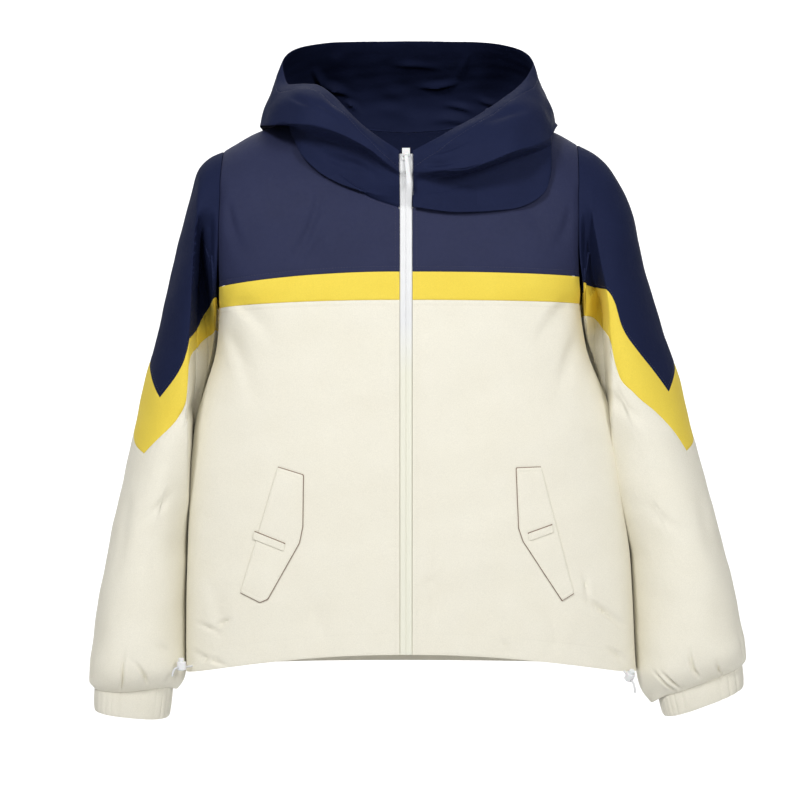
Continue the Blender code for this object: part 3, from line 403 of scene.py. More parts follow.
SLEEVE_CREASES = {
    "right": columns(
        CREASE,
        [
            (150, -330, 60, -392, 8, 12, 2.6, 0.3, 0.2),
            (140, -452, 62, -500, 7, 11, 2.0, 0.3, 0.2),
            (42, -440, 66, -560, 6, 16, 1.6, 0.5, 0.0),
            (34, -636, 30, -688, 2, 6, 2.0, 0.85, 0.0),
            (92, -636, 93, -698, 1, 2.4, 4.4, 0.75, 0.4),
            (98, -650, 124, -692, 2, 3, 4.2, 0.7, 0.4),
            (131, -641, 160, -650, 2, 3, 1.6, 0.6, 0.2),
            (-40, -600, -46, -690, 4, 8, 2.8, 0.85, 0.2),
            (-84, -616, -80, -690, 3, 8, 3.0, 0.85, 0.2),
            (-126, -606, -138, -690, 3, 8, 2.8, 0.85, 0.2),
            (-60, -340, -130, -400, 8, 14, 3.0, 0.3, 0.2),
            (-50, -430, -128, -470, -8, 13, 2.6, 0.4, 0.2),
            (-70, -150, -96, -270, 7, 14, 2.6, 0.3, 0.2),
        ],
    ),
    "left": columns(
        CREASE,
        [
            (148, -330, 66, -386, 8, 12, 2.2, 0.3, 0.2),
            (140, -470, 64, -510, 7, 11, 2.0, 0.3, 0.2),
            (36, -430, 60, -556, 6, 16, 1.6, 0.5, 0.0),
            (36, -610, 22, -668, 3, 7, 2.0, 0.85, 0.2),
            (173, -664, 138, -697, -2, 2.6, 4.2, 0.7, 0.4),
            (160, -664, 127, -694, -2, 3, 3.8, 0.7, 0.4),
            (111, -633, 103, -684, 2, 2.6, 4.2, 0.7, 0.4),
            (85, -650, 80, -680, 1, 2.6, 3.6, 0.7, 0.2),
            (-40, -580, -44, -664, 4, 8, 2.8, 0.85, 0.2),
            (-82, -600, -84, -680, 3, 8, 3.0, 0.85, 0.2),
            (-124, -606, -134, -690, 3, 8, 2.8, 0.85, 0.2),
            (-60, -330, -130, -392, 8, 14, 3.0, 0.3, 0.2),
            (-50, -430, -128, -476, -8, 13, 2.6, 0.4, 0.2),
            (-70, -140, -96, -262, 7, 14, 2.6, 0.3, 0.2),
        ],
    ),
}
# On the hood the creases are in the front view, on its lip (its lower front half) or in its bowl.
LIP_CREASES = columns(
    CREASE,
    [
        (-142, 10, -96, -14, -3, 6, 2.6, 0.5, 0.3),
        (-118, 2, -62, -38, 4, 7, 2.6, 0.5, 0.2),
        (-98, 10, -64, -22, -2, 5, 2.0, 0.4, 0.2),
        (-112, -50, -40, -84, -6, 7, 3.6, 0.5, 0.2),
        (-90, -62, -24, -98, 3, 5, 2.4, 0.5, 0.2),
        (22, -66, 82, -44, -4, 5, 2.8, 0.4, 0.3),
        (16, -78, 70, -70, -3, 5, 2.8, 0.4, 0.3),
        (44, -40, 110, -8, 4, 8, 2.4, 0.5, 0.2),
        (86, -30, 150, -10, 4, 8, 2.2, 0.5, 0.2),
        (118, 0, 146, 30, 5, 8, 1.8, 0.5, 0.0),
    ],
)
BOWL_CREASES = columns(
    CREASE,
    [
        (-116, 66, -98, 40, -3, 5, 6.0, 0.6, 0.3),
        (-106, 44, -62, 26, 4, 4.5, 7.5, 0.3, 0.4),
        (-110, 36, -54, -12, -4, 4.5, 8.0, 0.5, 0.4),
        (-78, 30, -60, 8, 2, 4, 6.0, 0.4, 0.3),
        (-100, 64, -70, 74, 4, 8, 2.4, 0.5, 0.0),
        (-24, 68, 54, 60, 3, 4, 3.4, 0.4, 0.4),
        (4, 46, 72, 51, -4, 4, 4.6, 0.6, 0.4),
        (68, 50, 84, 84, 4, 4, 3.6, 0.3, 0.3),
        (86, 34, 124, 22, -4, 4, 4.4, 0.5, 0.3),
        (40, 22, 92, 9, 5, 5, 4.6, 0.6, 0.3),
        (28, 2, 96, -8, 6, 6, 4.0, 0.5, 0.3),
        (-50, 16, 20, 4, 6, 12, 2.4, 0.5, 0.0),
        (-36, 40, 6, 26, 4, 10, 2.2, 0.5, 0.0),
        (-150, -60, -110, -150, 8, 16, 3.6, 0.5, 0.2),
        (140, -66, 100, -160, -8, 16, 3.4, 0.5, 0.2),
        (-50, -70, -40, -180, 6, 18, 3.0, 0.5, 0.0),
        (46, -64, 30, -176, -6, 17, 2.8, 0.5, 0.0),
        (0, -20, -8, -120, 5, 15, 1.8, 0.5, 0.0),
    ],
)
FLAP = {
    "right": columns(
        "out height",
        [(149, -428), (119, -437), (120, -497), (124, -516), (161, -582), (170, -586), (193, -575)],
    ),
    "left": columns(
        "out height",
        [(157, -428), (128, -429), (130, -475), (131, -499), (136, -514), (182, -584), (196, -576)],
    ),
}
CORNER, RIM_STEP = 2.2, 2.2  # what a flap's rounded corner takes of each edge, and between its points
FLAP_TAB = {
    "right": columns("out height", [(176, -503), (178, -512), (142, -526), (140, -517)]),
    "left": columns("out height", [(170, -495), (172, -504), (143, -514), (141, -505)]),
}


# ------------------------------------------------------------
# Curves and surfaces
# ------------------------------------------------------------


def smooth(at, places, values):
    """Monotone cubic through (places, values) read at `at`; values may hold a whole array a place.

    Between two places the value is y0 (1 + 2t)(1 - t)^2 + y1 t^2 (3 - 2t) plus the gap times
    (m0 t (1 - t)^2 - m1 t^2 (1 - t)), where each slope m is a weighted harmonic mean of the slopes
    on its two sides, or 0 where they differ in sign.
    """
    x, y = np.asarray(places, float), np.asarray(values, float)
    if x[0] > x[-1]:
        x, y = x[::-1], y[::-1]
    gap = np.diff(x)
    spread = gap.reshape((-1,) + (1,) * (y.ndim - 1))
    slope = np.diff(y, axis=0) / spread
    tangent = np.zeros_like(y)
    tangent[0], tangent[-1] = slope[0], slope[-1]
    before, after = slope[:-1], slope[1:]
    turning = before * after <= 0
    safe_before, safe_after = np.where(turning, 1.0, before), np.where(turning, 1.0, after)
    near, far = 2 * spread[1:] + spread[:-1], spread[1:] + 2 * spread[:-1]
    tangent[1:-1] = np.where(turning, 0.0, (near + far) / (near / safe_before + far / safe_after))
    at = np.clip(at, x[0], x[-1])
    i = np.clip(np.searchsorted(x, at, side="right") - 1, 0, len(gap) - 1)
    t = (at - x[i]) / gap[i]
    t = t.reshape(t.shape + (1,) * (y.ndim - 1))
    rise = y[i] * (1 + 2 * t) * (1 - t) ** 2 + y[i + 1] * t * t * (3 - 2 * t)
    return rise + gap[i].reshape(t.shape) * (tangent[i] * t * (1 - t) ** 2 - tangent[i + 1] * t * t * (1 - t))


def unit(v):
    """Each vector divided by its length; one of no length stays as it is."""
    return v / np.maximum(np.linalg.norm(v, axis=-1, keepdims=True), 1e-9)


def ease(t):
    """0 below 0, 1 above 1, and 3t^2 - 2t^3 between."""
    t = np.clip(t, 0, 1)
    return t * t * (3 - 2 * t)


def bell(away, reach):
    """1 at no distance, falling off on both sides as exp(-(distance / reach)^2)."""
    return np.exp(-((away / reach) ** 2))


def creases(x, z, table):
    """Height of soft folds at (x, z), below 0 in a trough.

    Along a crease t runs from 0 to 1 and its depth swells to `peak` and dies away. Across it, with s
    the distance over the width, the height is -depth (1 - 0.9 s^2) exp(-s^2): a trough with a low lip
    on each side. Skew narrows one flank and widens the other.
    """
    total = np.zeros(np.broadcast(x, z).shape)
    for x0, z0, x1, z1, bow, width, depth, peak, skew in zip(*table.values()):
        length = math.hypot(x1 - x0, z1 - z0)
        ux, uz = (x1 - x0) / length, (z1 - z0) / length
        t = ((x - x0) * ux + (z - z0) * uz) / length
        inside = np.clip(t, 0, 1)
        off = (z - z0) * ux - (x - x0) * uz - bow * 4 * inside * (1 - inside)
        s = off / (width * np.where(off > 0, 1 + skew, 1 - skew))
        swell = np.where(t < peak, ease(t / max(peak, 0.05)), ease((1 - t) / (1 - peak)))
        total -= depth * swell * (1 - 0.9 * s * s) * np.exp(-s * s)
    return total


def ripple(x, z, height, length, phase):
    """Low uneven waves, the sum of three sines of different directions and lengths."""
    k = 2 * math.pi / length
    a = np.sin(k * (0.9 * x + 0.4 * z) + phase)
    b = np.sin(k * 1.37 * (0.2 * x - 1.0 * z) + 1.3 + 2 * phase)
    c = np.sin(k * 0.71 * (x - 0.7 * z) + 2.1 - phase)
    return height * (a + 0.8 * b + 0.9 * c) / 2.7


def body_half_width(x, z):
    """How far out the body's side is at each height, on the side that x is on."""
    return np.where(x > 0, smooth(z, BODY["height"], BODY["left"]), smooth(z, BODY["height"], BODY["right"]))


def body_depth(face, x, z):
    """How far the body stands in front of or behind the shoulder line.

    Across, it is a super-ellipse: full depth times (1 - |x/half width|^n)^(1/n). Near the shoulder it
    is rounded by a quarter circle of the distance below the shoulder seam.
    """
    full = smooth(z, BODY["height"], BODY[face])
    square = smooth(z, BODY["height"], BODY["square"])
    out = np.clip(np.abs(x) / body_half_width(x, z), 0, 1)
    around = (1 - out**square) ** (1 / square)
    reach = SHOULDER_ROUND + (NECK_ROUND - SHOULDER_ROUND) * np.clip(1 - np.abs(x) / SHOULDER_REACH, 0, 1)
    below = np.clip((smooth(np.abs(x), SHOULDER["out"], SHOULDER["height"]) - z) / reach, 0, 1)
    return full * around * np.sqrt(1 - (1 - below) ** 2)


def torso(face, x, z):
    """Points of the body's surface and outward normals, from the slopes of its depth."""
    x, z = np.asarray(x, float), np.asarray(z, float)
    forward = -1.0 if face == "front" else 1.0
    depth, step = body_depth(face, x, z), 0.05
    slope_x = (body_depth(face, x + step, z) - body_depth(face, x - step, z)) / (2 * step)
    slope_z = (body_depth(face, x, z + step) - body_depth(face, x, z - step)) / (2 * step)
    normal = unit(np.stack([-slope_x, np.where(depth < 2.0, 0.0, forward), -slope_z], axis=-1))
    y = forward * np.maximum(depth, SEAM / 2)
    return np.stack([x, y, z], axis=-1), normal


def armhole_x(side, z):
    """How far out the armhole's seam is at each height."""
    return smooth(z, ARMHOLE["height"], ARMHOLE[side])


def armhole_height(side, angle):
    """Height round the armhole, a cosine from the shoulder (0) to the underarm (180)."""
    top, low = SLEEVE[side]["outer_z"][0], UNDERARM[side]
    return (top + low) / 2 + (top - low) / 2 * np.cos(np.radians(angle))


def armhole(side, angle, outwards):
    """Points and normals of the armhole, moved outwards from its seam; angles below 0 are behind."""
    z = armhole_height(side, angle)
    x = SIDES[side] * armhole_x(side, z)
    ahead, ahead_normal = torso("front", x, z)
    behind, behind_normal = torso("back", x, z)
    in_front = (np.asarray(angle) >= 0)[..., None]
    points = np.where(in_front, ahead, behind)
    points[..., 0] += SIDES[side] * outwards
    return points, np.where(in_front, ahead_normal, behind_normal)


def band_angle(side):
    """The angle round the armhole where the top of the band meets it."""
    angles = np.linspace(0, 180, 721)
    return float(np.interp(-BAND_SIDE_TOP[side], -armhole_height(side, angles), angles))


def shares(length, step, ends=(0.7, 1.7, 3.4)):
    """Places from 0 to 1, about a step apart, with more of them close to both ends."""
    even = np.linspace(0, 1, max(3, int(round(length / step)) + 1))
    close = np.array(ends) / length
    inner = even[(even > close[-1] * 1.4) & (even < 1 - close[-1] * 1.4)]
    return np.concatenate([[0], close, inner, 1 - close[::-1], [1]])


def across(length, step):
    """Places from the centre to the side, closer together where the body turns away."""
    return np.sin(shares(length, step) * math.pi / 2) ** 0.9


def read(at, places, points):
    """Points read at `at` from points that stand at these places, straight from each to the next."""
    return np.stack([np.interp(at, places, column) for column in points.T], axis=-1)


def blend_grid(bottom, top, inner, outer, u, v):
    """Coons patch: the two ruled surfaces between opposite edges, less the one between corners."""
    u, v = u[None, :, None], v[:, None, None]
    corners = (
        (1 - u) * (1 - v) * bottom[0] + u * (1 - v) * bottom[-1] + (1 - u) * v * top[0] + u * v * top[-1]
    )
    return (1 - v) * bottom[None] + v * top[None] + (1 - u) * inner[:, None] + u * outer[:, None] - corners


def line(start, end, places, bow=1.0):
    """Places from start to end; bow above 1 keeps the height level near the start."""
    start, end = np.array(start, float), np.array(end, float)
    x = start[0] + (end[0] - start[0]) * places
    z = start[1] + (end[1] - start[1]) * places**bow
    return np.stack([x, z], axis=-1)


def along(table, places):
    """Places along a curve of (out, height), by share of its length."""
    steps = np.hypot(np.diff(table["out"]), np.diff(table["height"]))
    at = np.concatenate([[0], np.cumsum(steps)]) / steps.sum()
    return np.stack([smooth(places, at, table["out"]), smooth(places, at, table["height"])], axis=-1)


def yoke_places(side, face, u, v):
    """(out, height) of one half of a yoke, from its band up to the shoulder."""
    if face == "front":
        centre, centre_top, centre_low = ZIP_EDGE + SEAM, NECK_FRONT - SEAM / 2, BAND_TOP + SEAM / 2
        neckline, straight = NECKLINE_FRONT, FRONT_STRAIGHT
    else:
        centre, centre_top, centre_low = 0.0, NECK_BACK - SEAM / 2, BACK_BAND_TOP + SEAM / 2
        neckline, straight = NECKLINE_BACK, BACK_STRAIGHT
    rising = line((centre, centre_low), (centre, centre_top), np.clip(v / straight, 0, 1))
    curve = along(neckline, np.clip((v - straight) / (1 - straight), 0, 1)) - (0, SEAM / 2)
    curve[:, 0] = np.maximum(curve[:, 0], centre)
    inner = np.where((v <= straight)[:, None], rising, curve)
    height = armhole_height(side, band_angle(side) * (1 - v))
    height[0] += SEAM / 2
    outer = np.stack([armhole_x(side, height) - SEAM / 2, height], axis=-1)
    bottom = line(inner[0], outer[0], u, 2.0)
    top = line(inner[-1], outer[-1], u)
    top[:, 1] = smooth(top[:, 0], SHOULDER["out"], SHOULDER["height"])
    inner[-1], outer[-1] = top[0], top[-1]
    return blend_grid(bottom, top, inner, outer, u, v)


def band_places(side, face, u, v):
    """(out, height) of one half of the band, whose ends run along the armhole to the underarm."""
    front = face == "front"
    centre = ZIP_EDGE + SEAM if front else 0.0
    top, low = (BAND_TOP, BAND_BOTTOM) if front else (BACK_BAND_TOP, BACK_BAND_BOTTOM)
    height = armhole_height(side, 180 + (band_angle(side) - 180) * v)
    height[0] += SEAM / 2
    height[-1] -= SEAM / 2
    outer = np.stack([armhole_x(side, height) - SEAM / 2, height], axis=-1)
    inner = line((centre, low + SEAM / 2), (centre, top - SEAM / 2), v)
    lower, upper = line(inner[0], outer[0], u, 2.0), line(inner[-1], outer[-1], u, 2.0)
    return blend_grid(lower, upper, inner, outer, u, v)


def panel_places(side, face, u, v):
    """(out, height) of one half of the body below the band, down to the hem."""
    front = face == "front"
    centre = ZIP_EDGE + SEAM if front else 0.0
    top, low = (BAND_BOTTOM, HEM_FRONT) if front else (BACK_BAND_BOTTOM, HEM_BACK)
    inner_z = low + (top - SEAM / 2 - low) * v
    outer_z = HEM_SIDE + (UNDERARM[side] - SEAM / 2 - HEM_SIDE) * v
    outer_x = body_half_width(np.full_like(outer_z, SIDES[side]), outer_z)
    x = centre + (outer_x - centre)[:, None] * u[None]
    z = inner_z[:, None] + (outer_z - inner_z)[:, None] * u[None] ** 2
    return np.stack([x, z], axis=-1)


def ring_points(table, angle, at, pitch=0.0):
    """A run of rings: an ellipse tilted from its outer to its inner point, squared off in front."""
    rows = np.arange(len(table["depth"]))
    row = {key: smooth(at, rows, values) for key, values in table.items()}
    turn = np.radians(angle)
    power = 2 / row["square"]
    outwards = np.sign(np.cos(turn)) * np.abs(np.cos(turn)) ** power
    forwards = np.sign(np.sin(turn)) * np.abs(np.sin(turn)) ** np.where(np.sin(turn) > 0, power, 1.0)
    x = (row["outer_x"] + row["inner_x"]) / 2 + (row["outer_x"] - row["inner_x"]) / 2 * outwards
    z = (row["outer_z"] + row["inner_z"]) / 2 + (row["outer_z"] - row["inner_z"]) / 2 * outwards
    x = x - np.where(forwards > 0, row["lean"], row["back_lean"]) * np.abs(forwards)
    y = row["middle"] - row["depth"] * forwards
    return np.stack([x, y, z - pitch * forwards], axis=-1)


def sleeve_points(side, angle, at):
    """A sleeve's surface: the armhole itself at row 0, easing into its own rings over five rows."""
    angle, at = np.broadcast_arrays(np.asarray(angle, float), np.asarray(at, float))
    last = len(SLEEVE[side]["depth"]) - 1
    rings = ring_points(SLEEVE[side], angle, at, CUFF_PITCH * np.clip((at - last + 4) / 4, 0, 1))
    first = ring_points(SLEEVE[side], angle, np.zeros_like(at))
    rings[..., 0] *= SIDES[side]
    first[..., 0] *= SIDES[side]
    seam, _ = armhole(side, angle, 2 * SEAM)
    share = np.clip(at / 5, 0, 1)[..., None]
    return rings + (seam - first) * (1 - share * share * (3 - 2 * share))


def sleeve_normals(side, angle, at):
    """Outward normals of a sleeve; over the shoulder they start as the body's own."""
    angle, at = np.broadcast_arrays(np.asarray(angle, float), np.asarray(at, float))
    step = 0.02
    round_it = sleeve_points(side, angle + 50 * step, at) - sleeve_points(side, angle - 50 * step, at)
    low, high = np.maximum(at - step, 0), np.minimum(at + step, len(SLEEVE[side]["depth"]) - 1)
    down_it = sleeve_points(side, angle, high) - sleeve_points(side, angle, low)
    normal = unit(np.cross(round_it, down_it)) * SIDES[side]
    _, seam_normal = armhole(side, angle, 0.0)
    above = np.clip((140 - np.abs(angle)) / 50, 0, 1)
    share = (np.clip(1 - at, 0, 1) * above)[..., None]
    return unit(normal * (1 - share) + seam_normal * share)


def underarm_fold(side, angle, at, points, from_top):
    """Moves a sleeve's points into the fold beside the underarm, and says how far each one fell back.

    In front, the column at the ridge's angle slides out or in to the ridge, and the columns on both
    sides follow by a share that falls to 0 at the outer line and at the body. Beyond the ridge the
    cloth drops to the fold's floor. The fold eases in below the armhole.
    """
    table = UNDERARM_FOLD[side]
    ridge, out, floor, wide = (smooth(at, table["row"], table[name]) for name in FOLD.split()[1:])
    slide = out - np.abs(sleeve_points(side, ridge, at)[..., 0])
    share = np.where(angle < ridge, (np.clip(angle, 0, None) / ridge) ** 2, (180 - angle) / (180 - ridge))
    present = ease((table["row"][-1] + 1 - at) / 1.5)
    gap = ease(from_top / 8) * ease((angle - ridge) / wide) * ease((178 - angle) / 12) * present
    back = gap * np.maximum(floor - points[..., 1], 0)
    moved = points.copy()
    moved[..., 0] += SIDES[side] * slide * share * present * ease(from_top / 30) * (angle > 0)
    moved[..., 1] += back
    return moved, back


def seam_rows(side, angles, seam):
    """How far down the sleeve, in rows of its table, a seam crosses each angle."""
    table, point = SLEEVE_SEAMS[side], POINT_ANGLE[side]
    outer, inner = table["angle"] <= point, table["angle"] >= point
    heights = np.where(
        angles <= point,
        smooth(angles, table["angle"][outer], table[seam][outer]),
        smooth(angles, table["angle"][inner], table[seam][inner]),
    )
    fine = np.linspace(0, len(SLEEVE[side]["depth"]) - 1, 400)
    z = sleeve_points(side, angles[:, None], fine[None])[..., 2]
    return np.array([np.interp(-height, -row, fine) for height, row in zip(heights, z)])


def neckline(side):
    """Shares of the way round the neck and the yokes' own points there, from the zip to the back."""
    v = np.linspace(0, 1, NECK_POINTS)
    ends = np.array([0.0, 1.0])
    found = []
    for face, straight in (("front", FRONT_STRAIGHT), ("back", BACK_STRAIGHT)):
        steps = straight + (1 - straight) * v
        places = yoke_places(side, face, ends, np.concatenate([[0], steps]))[1:, 0]
        points, _ = torso(face, SIDES[side] * places[:, 0], places[:, 1])
        found.append(points)
    front_shares, back_shares = NECK_POINT_SHARE * v, 1 - (1 - NECK_POINT_SHARE) * v
    at = np.concatenate([front_shares[:-1], back_shares[::-1]])
    return at, np.concatenate([found[0][:-1], found[1][::-1]])


def hood_half(side, at, profile):
    """One side of the hood: a row for each place up the profile, a column for each share round it."""
    table = np.array(HOOD, float)
    table[..., 0] *= SIDES[side]
    if side == "left":
        table[1:, :, 0] *= HOOD_LEFT_WIDER
        for share, drop in HOOD_LEFT_DROP.items():
            table[share, :, 2] -= drop
        for share, points in HOOD_LEFT_FOOT.items():
            table[share, 1:4] = points
    seam_at, seam_points = neckline(side)
    seam = read(at, seam_at, seam_points)
    seam[:, 2] += SEAM
    curves = smooth(at, HOOD_SHARES, table)
    curves = np.concatenate([seam[:, None], curves], axis=1)
    grid = smooth(profile, np.arange(curves.shape[1]), curves.transpose(1, 0, 2))
    return over_yoke(grid, profile)


def over_yoke(grid, profile):
    """Keeps the foot of the hood in front of the yoke.

    Where it lies in front of the neck and below the shoulder seam, its y is at most the yoke's own
    less a clearance, which eases in from the neck seam upwards.
    """
    x, y, z = np.moveaxis(grid, -1, 0)
    top = smooth(np.abs(x), SHOULDER["out"], SHOULDER["height"])
    depth = body_depth("front", x, np.minimum(z, top))
    outside = -depth - YOKE_CLEARANCE * ease(profile / CLEARED_BY)[:, None]
    foot = (y < 0) & (z < top) & (profile < FOOT_ENDS)[:, None]
    grid[..., 1] = np.where(foot, np.minimum(y, outside), y)
    return grid


def grid_normals(grid):
    """Normals of an open grid, from the cross product of its two directions."""
    rows, cols = np.gradient(grid, axis=0), np.gradient(grid, axis=1)
    return unit(np.cross(rows, cols))


def beside_body(side, z):
    """Half of the room between the body's side and the sleeve next to it, less a small clearance.

    Both swell into it below the underarm, so that the sleeve hangs against the body.
    """
    low = {name: values[HANGING_RINGS:] for name, values in SLEEVE[side].items()}
    sleeve = smooth(z, low["inner_z"], low["inner_x"])
    room = sleeve - body_half_width(SIDES[side] + 0 * z, z) - BESIDE_GAP
    return np.maximum(room, 0) / 2 * ease((BESIDE_FROM - z) / BESIDE_EASES)


# ------------------------------------------------------------
# Meshes
# ------------------------------------------------------------

EDGES = {"bottom": (0, False), "top": (0, True), "inner": (1, False), "outer": (1, True)}
EDGE_DROP, EDGE_REACH = 0.45, 1.3  # how far a seamed edge turns in, and from how far off
STITCH_OFFSET = 6.0  # of a row of topstitching from the seam beside it
HEM_TURNED_UP, RIM_TURNED_IN = 25.0, 20.0  # depth of the body's hem and of the hood's, to their stitches
FLAP_STITCH = 3.2  # of a flap's row from its edge
STITCH_PRESS, STITCH_PRESS_REACH = 0.32, 1.2  # how far the row draws the cloth down, and how near to it
PUCKER, PUCKER_REACH = 0.16, 6.5  # height of the waves beside the row, and how far off they die away
PUCKER_WAVE = 1.9  # mm of the row to a radian of those waves
LINES_AT_EDGE = (0.7, 1.7, 3.4, 4.8, 6.0, 7.2, 9.2)


def arc(grid, axis):
    """Distance along each row (axis 1) or column (axis 0) of a grid, or along one line, from its start."""
    steps = np.linalg.norm(np.diff(grid, axis=axis), axis=-1)
    start = np.zeros_like(np.take(steps, [0], axis=axis))
    return np.concatenate([start, np.cumsum(steps, axis=axis)], axis=axis)


def from_edge(grid, edge):
    """Distance of each point of a grid from one of its edges, along the grid's own lines."""
    axis, far = EDGES[edge]
    run = arc(grid, axis)
    return np.take(run, [-1], axis=axis) - run if far else run


def write_mesh(name, points, faces, material, uv=None, sharp=None):
    """A mesh object from points in millimetres, four-cornered faces and their corners' UVs."""
    mesh = bpy.data.meshes.new(name)
    mesh.from_pydata((np.asarray(points) * MM).tolist(), [], np.asarray(faces).tolist())
    if uv is not None:
        layer = mesh.uv_layers.new(name="cut")
        layer.data.foreach_set("uv", np.asarray(uv, np.float32).ravel())
    mesh.shade_smooth()
    if sharp is not None:
        mesh.set_sharp_from_angle(angle=math.radians(sharp))
    mesh.materials.append(material)
    obj = bpy.data.objects.new(name, mesh)
    bpy.context.scene.collection.objects.link(obj)
    return obj


def grid_faces(rows, cols, closed=False, first=0):
    """Corners of a grid's faces as point numbers, and as (row, column) with a ring left unrolled."""
    i, j = np.meshgrid(np.arange(rows - 1), np.arange(cols if closed else cols - 1), indexing="ij")
    i, j = i.ravel(), j.ravel()
    row = np.stack([i, i, i + 1, i + 1], axis=-1)
    col = np.stack([j, j + 1, j + 1, j], axis=-1)
    return first + row * cols + col % cols, row, col


def boundary(faces, count):
    """Directed edges that only one face has."""
    edges = np.concatenate([faces[:, [k, (k + 1) % 4]] for k in range(4)])
    corner = np.concatenate([np.stack([np.arange(len(faces)), np.full(len(faces), k)], -1) for k in range(4)])
    forward = edges[:, 0] * count + edges[:, 1]
    single = ~np.isin(forward, edges[:, 1] * count + edges[:, 0])
    return edges[single], corner[single]


def worn(obj):
    """The piece goes with the garment's body."""
    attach(obj, BODY_NAME)


def walled(name, material, outer, inner, faces, uv):
    """Closes an outer and an inner skin with the same faces into a wall, with a rim on every edge."""
    count = len(outer)
    edges, corner = boundary(faces, count)
    a, b = edges[:, 0], edges[:, 1]
    rim = np.stack([b, a, a + count, b + count], axis=-1)
    uv_a, uv_b = uv[corner[:, 0], corner[:, 1]], uv[corner[:, 0], (corner[:, 1] + 1) % 4]
    rim_uv = np.stack([uv_b, uv_a, uv_a, uv_b], axis=1)
    points = np.concatenate([outer, inner])
    every = np.concatenate([faces, faces[:, ::-1] + count, rim])
    every_uv = np.concatenate([uv, uv[:, ::-1], rim_uv])
    return write_mesh(name, points, every, material, every_uv, sharp=55)


def quad_area(grid):
    """Area of a grid, as half the cross product of the diagonals of each face."""
    one, other = grid[1:, 1:] - grid[:-1, :-1], grid[1:, :-1] - grid[:-1, 1:]
    return 0.5 * np.linalg.norm(np.cross(one, other), axis=-1).sum()


def pressed(grid, normal, seams, open_edges):
    """Turns in a grid's edges, and draws it down and puckers it along its rows of topstitching.

    An edge drops by a bell of the distance from it. Along a row of stitches the cloth drops by a
    narrow bell, and around it rises and falls in short sine waves. Two slower sines, of 23 and 41 mm to
    a radian, shift and weaken them by turns.
    """
    near = np.full(grid.shape[:2], 1e3)
    for edge in open_edges:
        near = np.minimum(near, from_edge(grid, edge))
    drop = EDGE_DROP * bell(near, EDGE_REACH)
    for edge, offset in seams:
        away = from_edge(grid, edge) - offset
        run = arc(grid, 1 - EDGES[edge][0])
        waves = np.sin(run / PUCKER_WAVE + 1.7 * np.sin(run / 23)) * (0.6 + 0.4 * np.sin(run / 41 + offset))
        drop = drop + STITCH_PRESS * bell(away, STITCH_PRESS_REACH)
        drop = drop + PUCKER * waves * bell(away, PUCKER_REACH)
    return grid - normal * drop[..., None], drop


def cloth(name, kind, parts, seams=(), closed=False, weld=None, open_edges=tuple(EDGES)):
    """One piece of cloth, as a wall over one grid or over two that share part of an edge.

    Parts are (points, normals) grids. The wall keeps its thickness inwards of the points. The UV
    map is in metres along the grid's rows and columns, so a weave keeps its size on every piece.
    Weld gives pairs of point numbers to merge. Returns the object and each part's outer points.
    """
    thickness = settings().cloth_thickness / MM
    outer, inner, faces, uv, shown = [], [], [], [], []
    first, area, width, length = 0, 0.0, 0.0, 0.0
    for grid, normal in parts:
        rows, cols = grid.shape[:2]
        unrolled = np.concatenate([grid, grid[:, :1]], axis=1) if closed else grid
        across_it, down_it = arc(unrolled, 1), arc(unrolled, 0)
        face, row, col = grid_faces(rows, cols, closed, first)
        skin, drop = pressed(grid, normal, seams, open_edges)
        lining = grid - normal * (thickness - 0.35 * np.minimum(drop, EDGE_DROP))[..., None]
        corners = skin.reshape(-1, 3)[face[len(face) // 2] - first]
        facing = np.cross(corners[2] - corners[0], corners[3] - corners[1])
        turned = facing @ normal.reshape(-1, 3)[face[len(face) // 2][0] - first] < 0
        step = -1 if turned else 1
        outer.append(skin.reshape(-1, 3))
        inner.append(lining.reshape(-1, 3))
        faces.append(face[:, ::step])
        uv.append(np.stack([across_it[row, col], down_it[row, col]], axis=-1)[:, ::step] * MM)
        shown.append(skin)
        first += rows * cols
        area += quad_area(unrolled)
        width, length = width + across_it[:, -1].max(), max(length, np.quantile(down_it[-1], 0.95))
    outer, inner, faces, uv = (np.concatenate(part) for part in (outer, inner, faces, uv))
    if weld is not None:
        number = np.arange(len(outer))
        number[weld[1]] = weld[0]
        kept, faces = np.unique(number[faces], return_inverse=True)
        faces = faces.reshape(-1, 4)
        outer, inner = outer[kept], inner[kept]
    obj = walled(name, material(kind), outer, inner, faces, uv)
    worn(obj)
    length = max(length, area / width)
    return obj, shown


def beside_edge(points, normals, edge, offset):
    """The line across a grid that runs a fixed distance in from one of its edges."""
    axis, far = EDGES[edge]
    if axis == 1:
        points, normals = points.transpose(1, 0, 2), normals.transpose(1, 0, 2)
    if far:
        points, normals = points[::-1], normals[::-1]
    run = arc(points, 0)
    low = np.clip((run < offset).sum(axis=0) - 1, 0, len(points) - 2)
    every = np.arange(points.shape[1])
    share = np.clip((offset - run[low, every]) / (run[low + 1, every] - run[low, every]), 0, 1)[:, None]
    return points[low, every] * (1 - share) + points[low + 1, every] * share, normals[low, every]


STITCH_SECTIONS = np.array([(-0.5, 0.5, -0.16), (0.0, 1.0, 0.1), (0.5, 0.5, -0.16)])
STITCH_SIDES = 6
STITCH_PITCH = 1.32  # from one stitch to the next, over a stitch's length
TUBE_STEP = 0.35  # between the rings of a cord
BRAID_STRANDS, BRAID_TWIST = 6, 3.2  # round the cord each way, and the turn of their waves in a millimetre


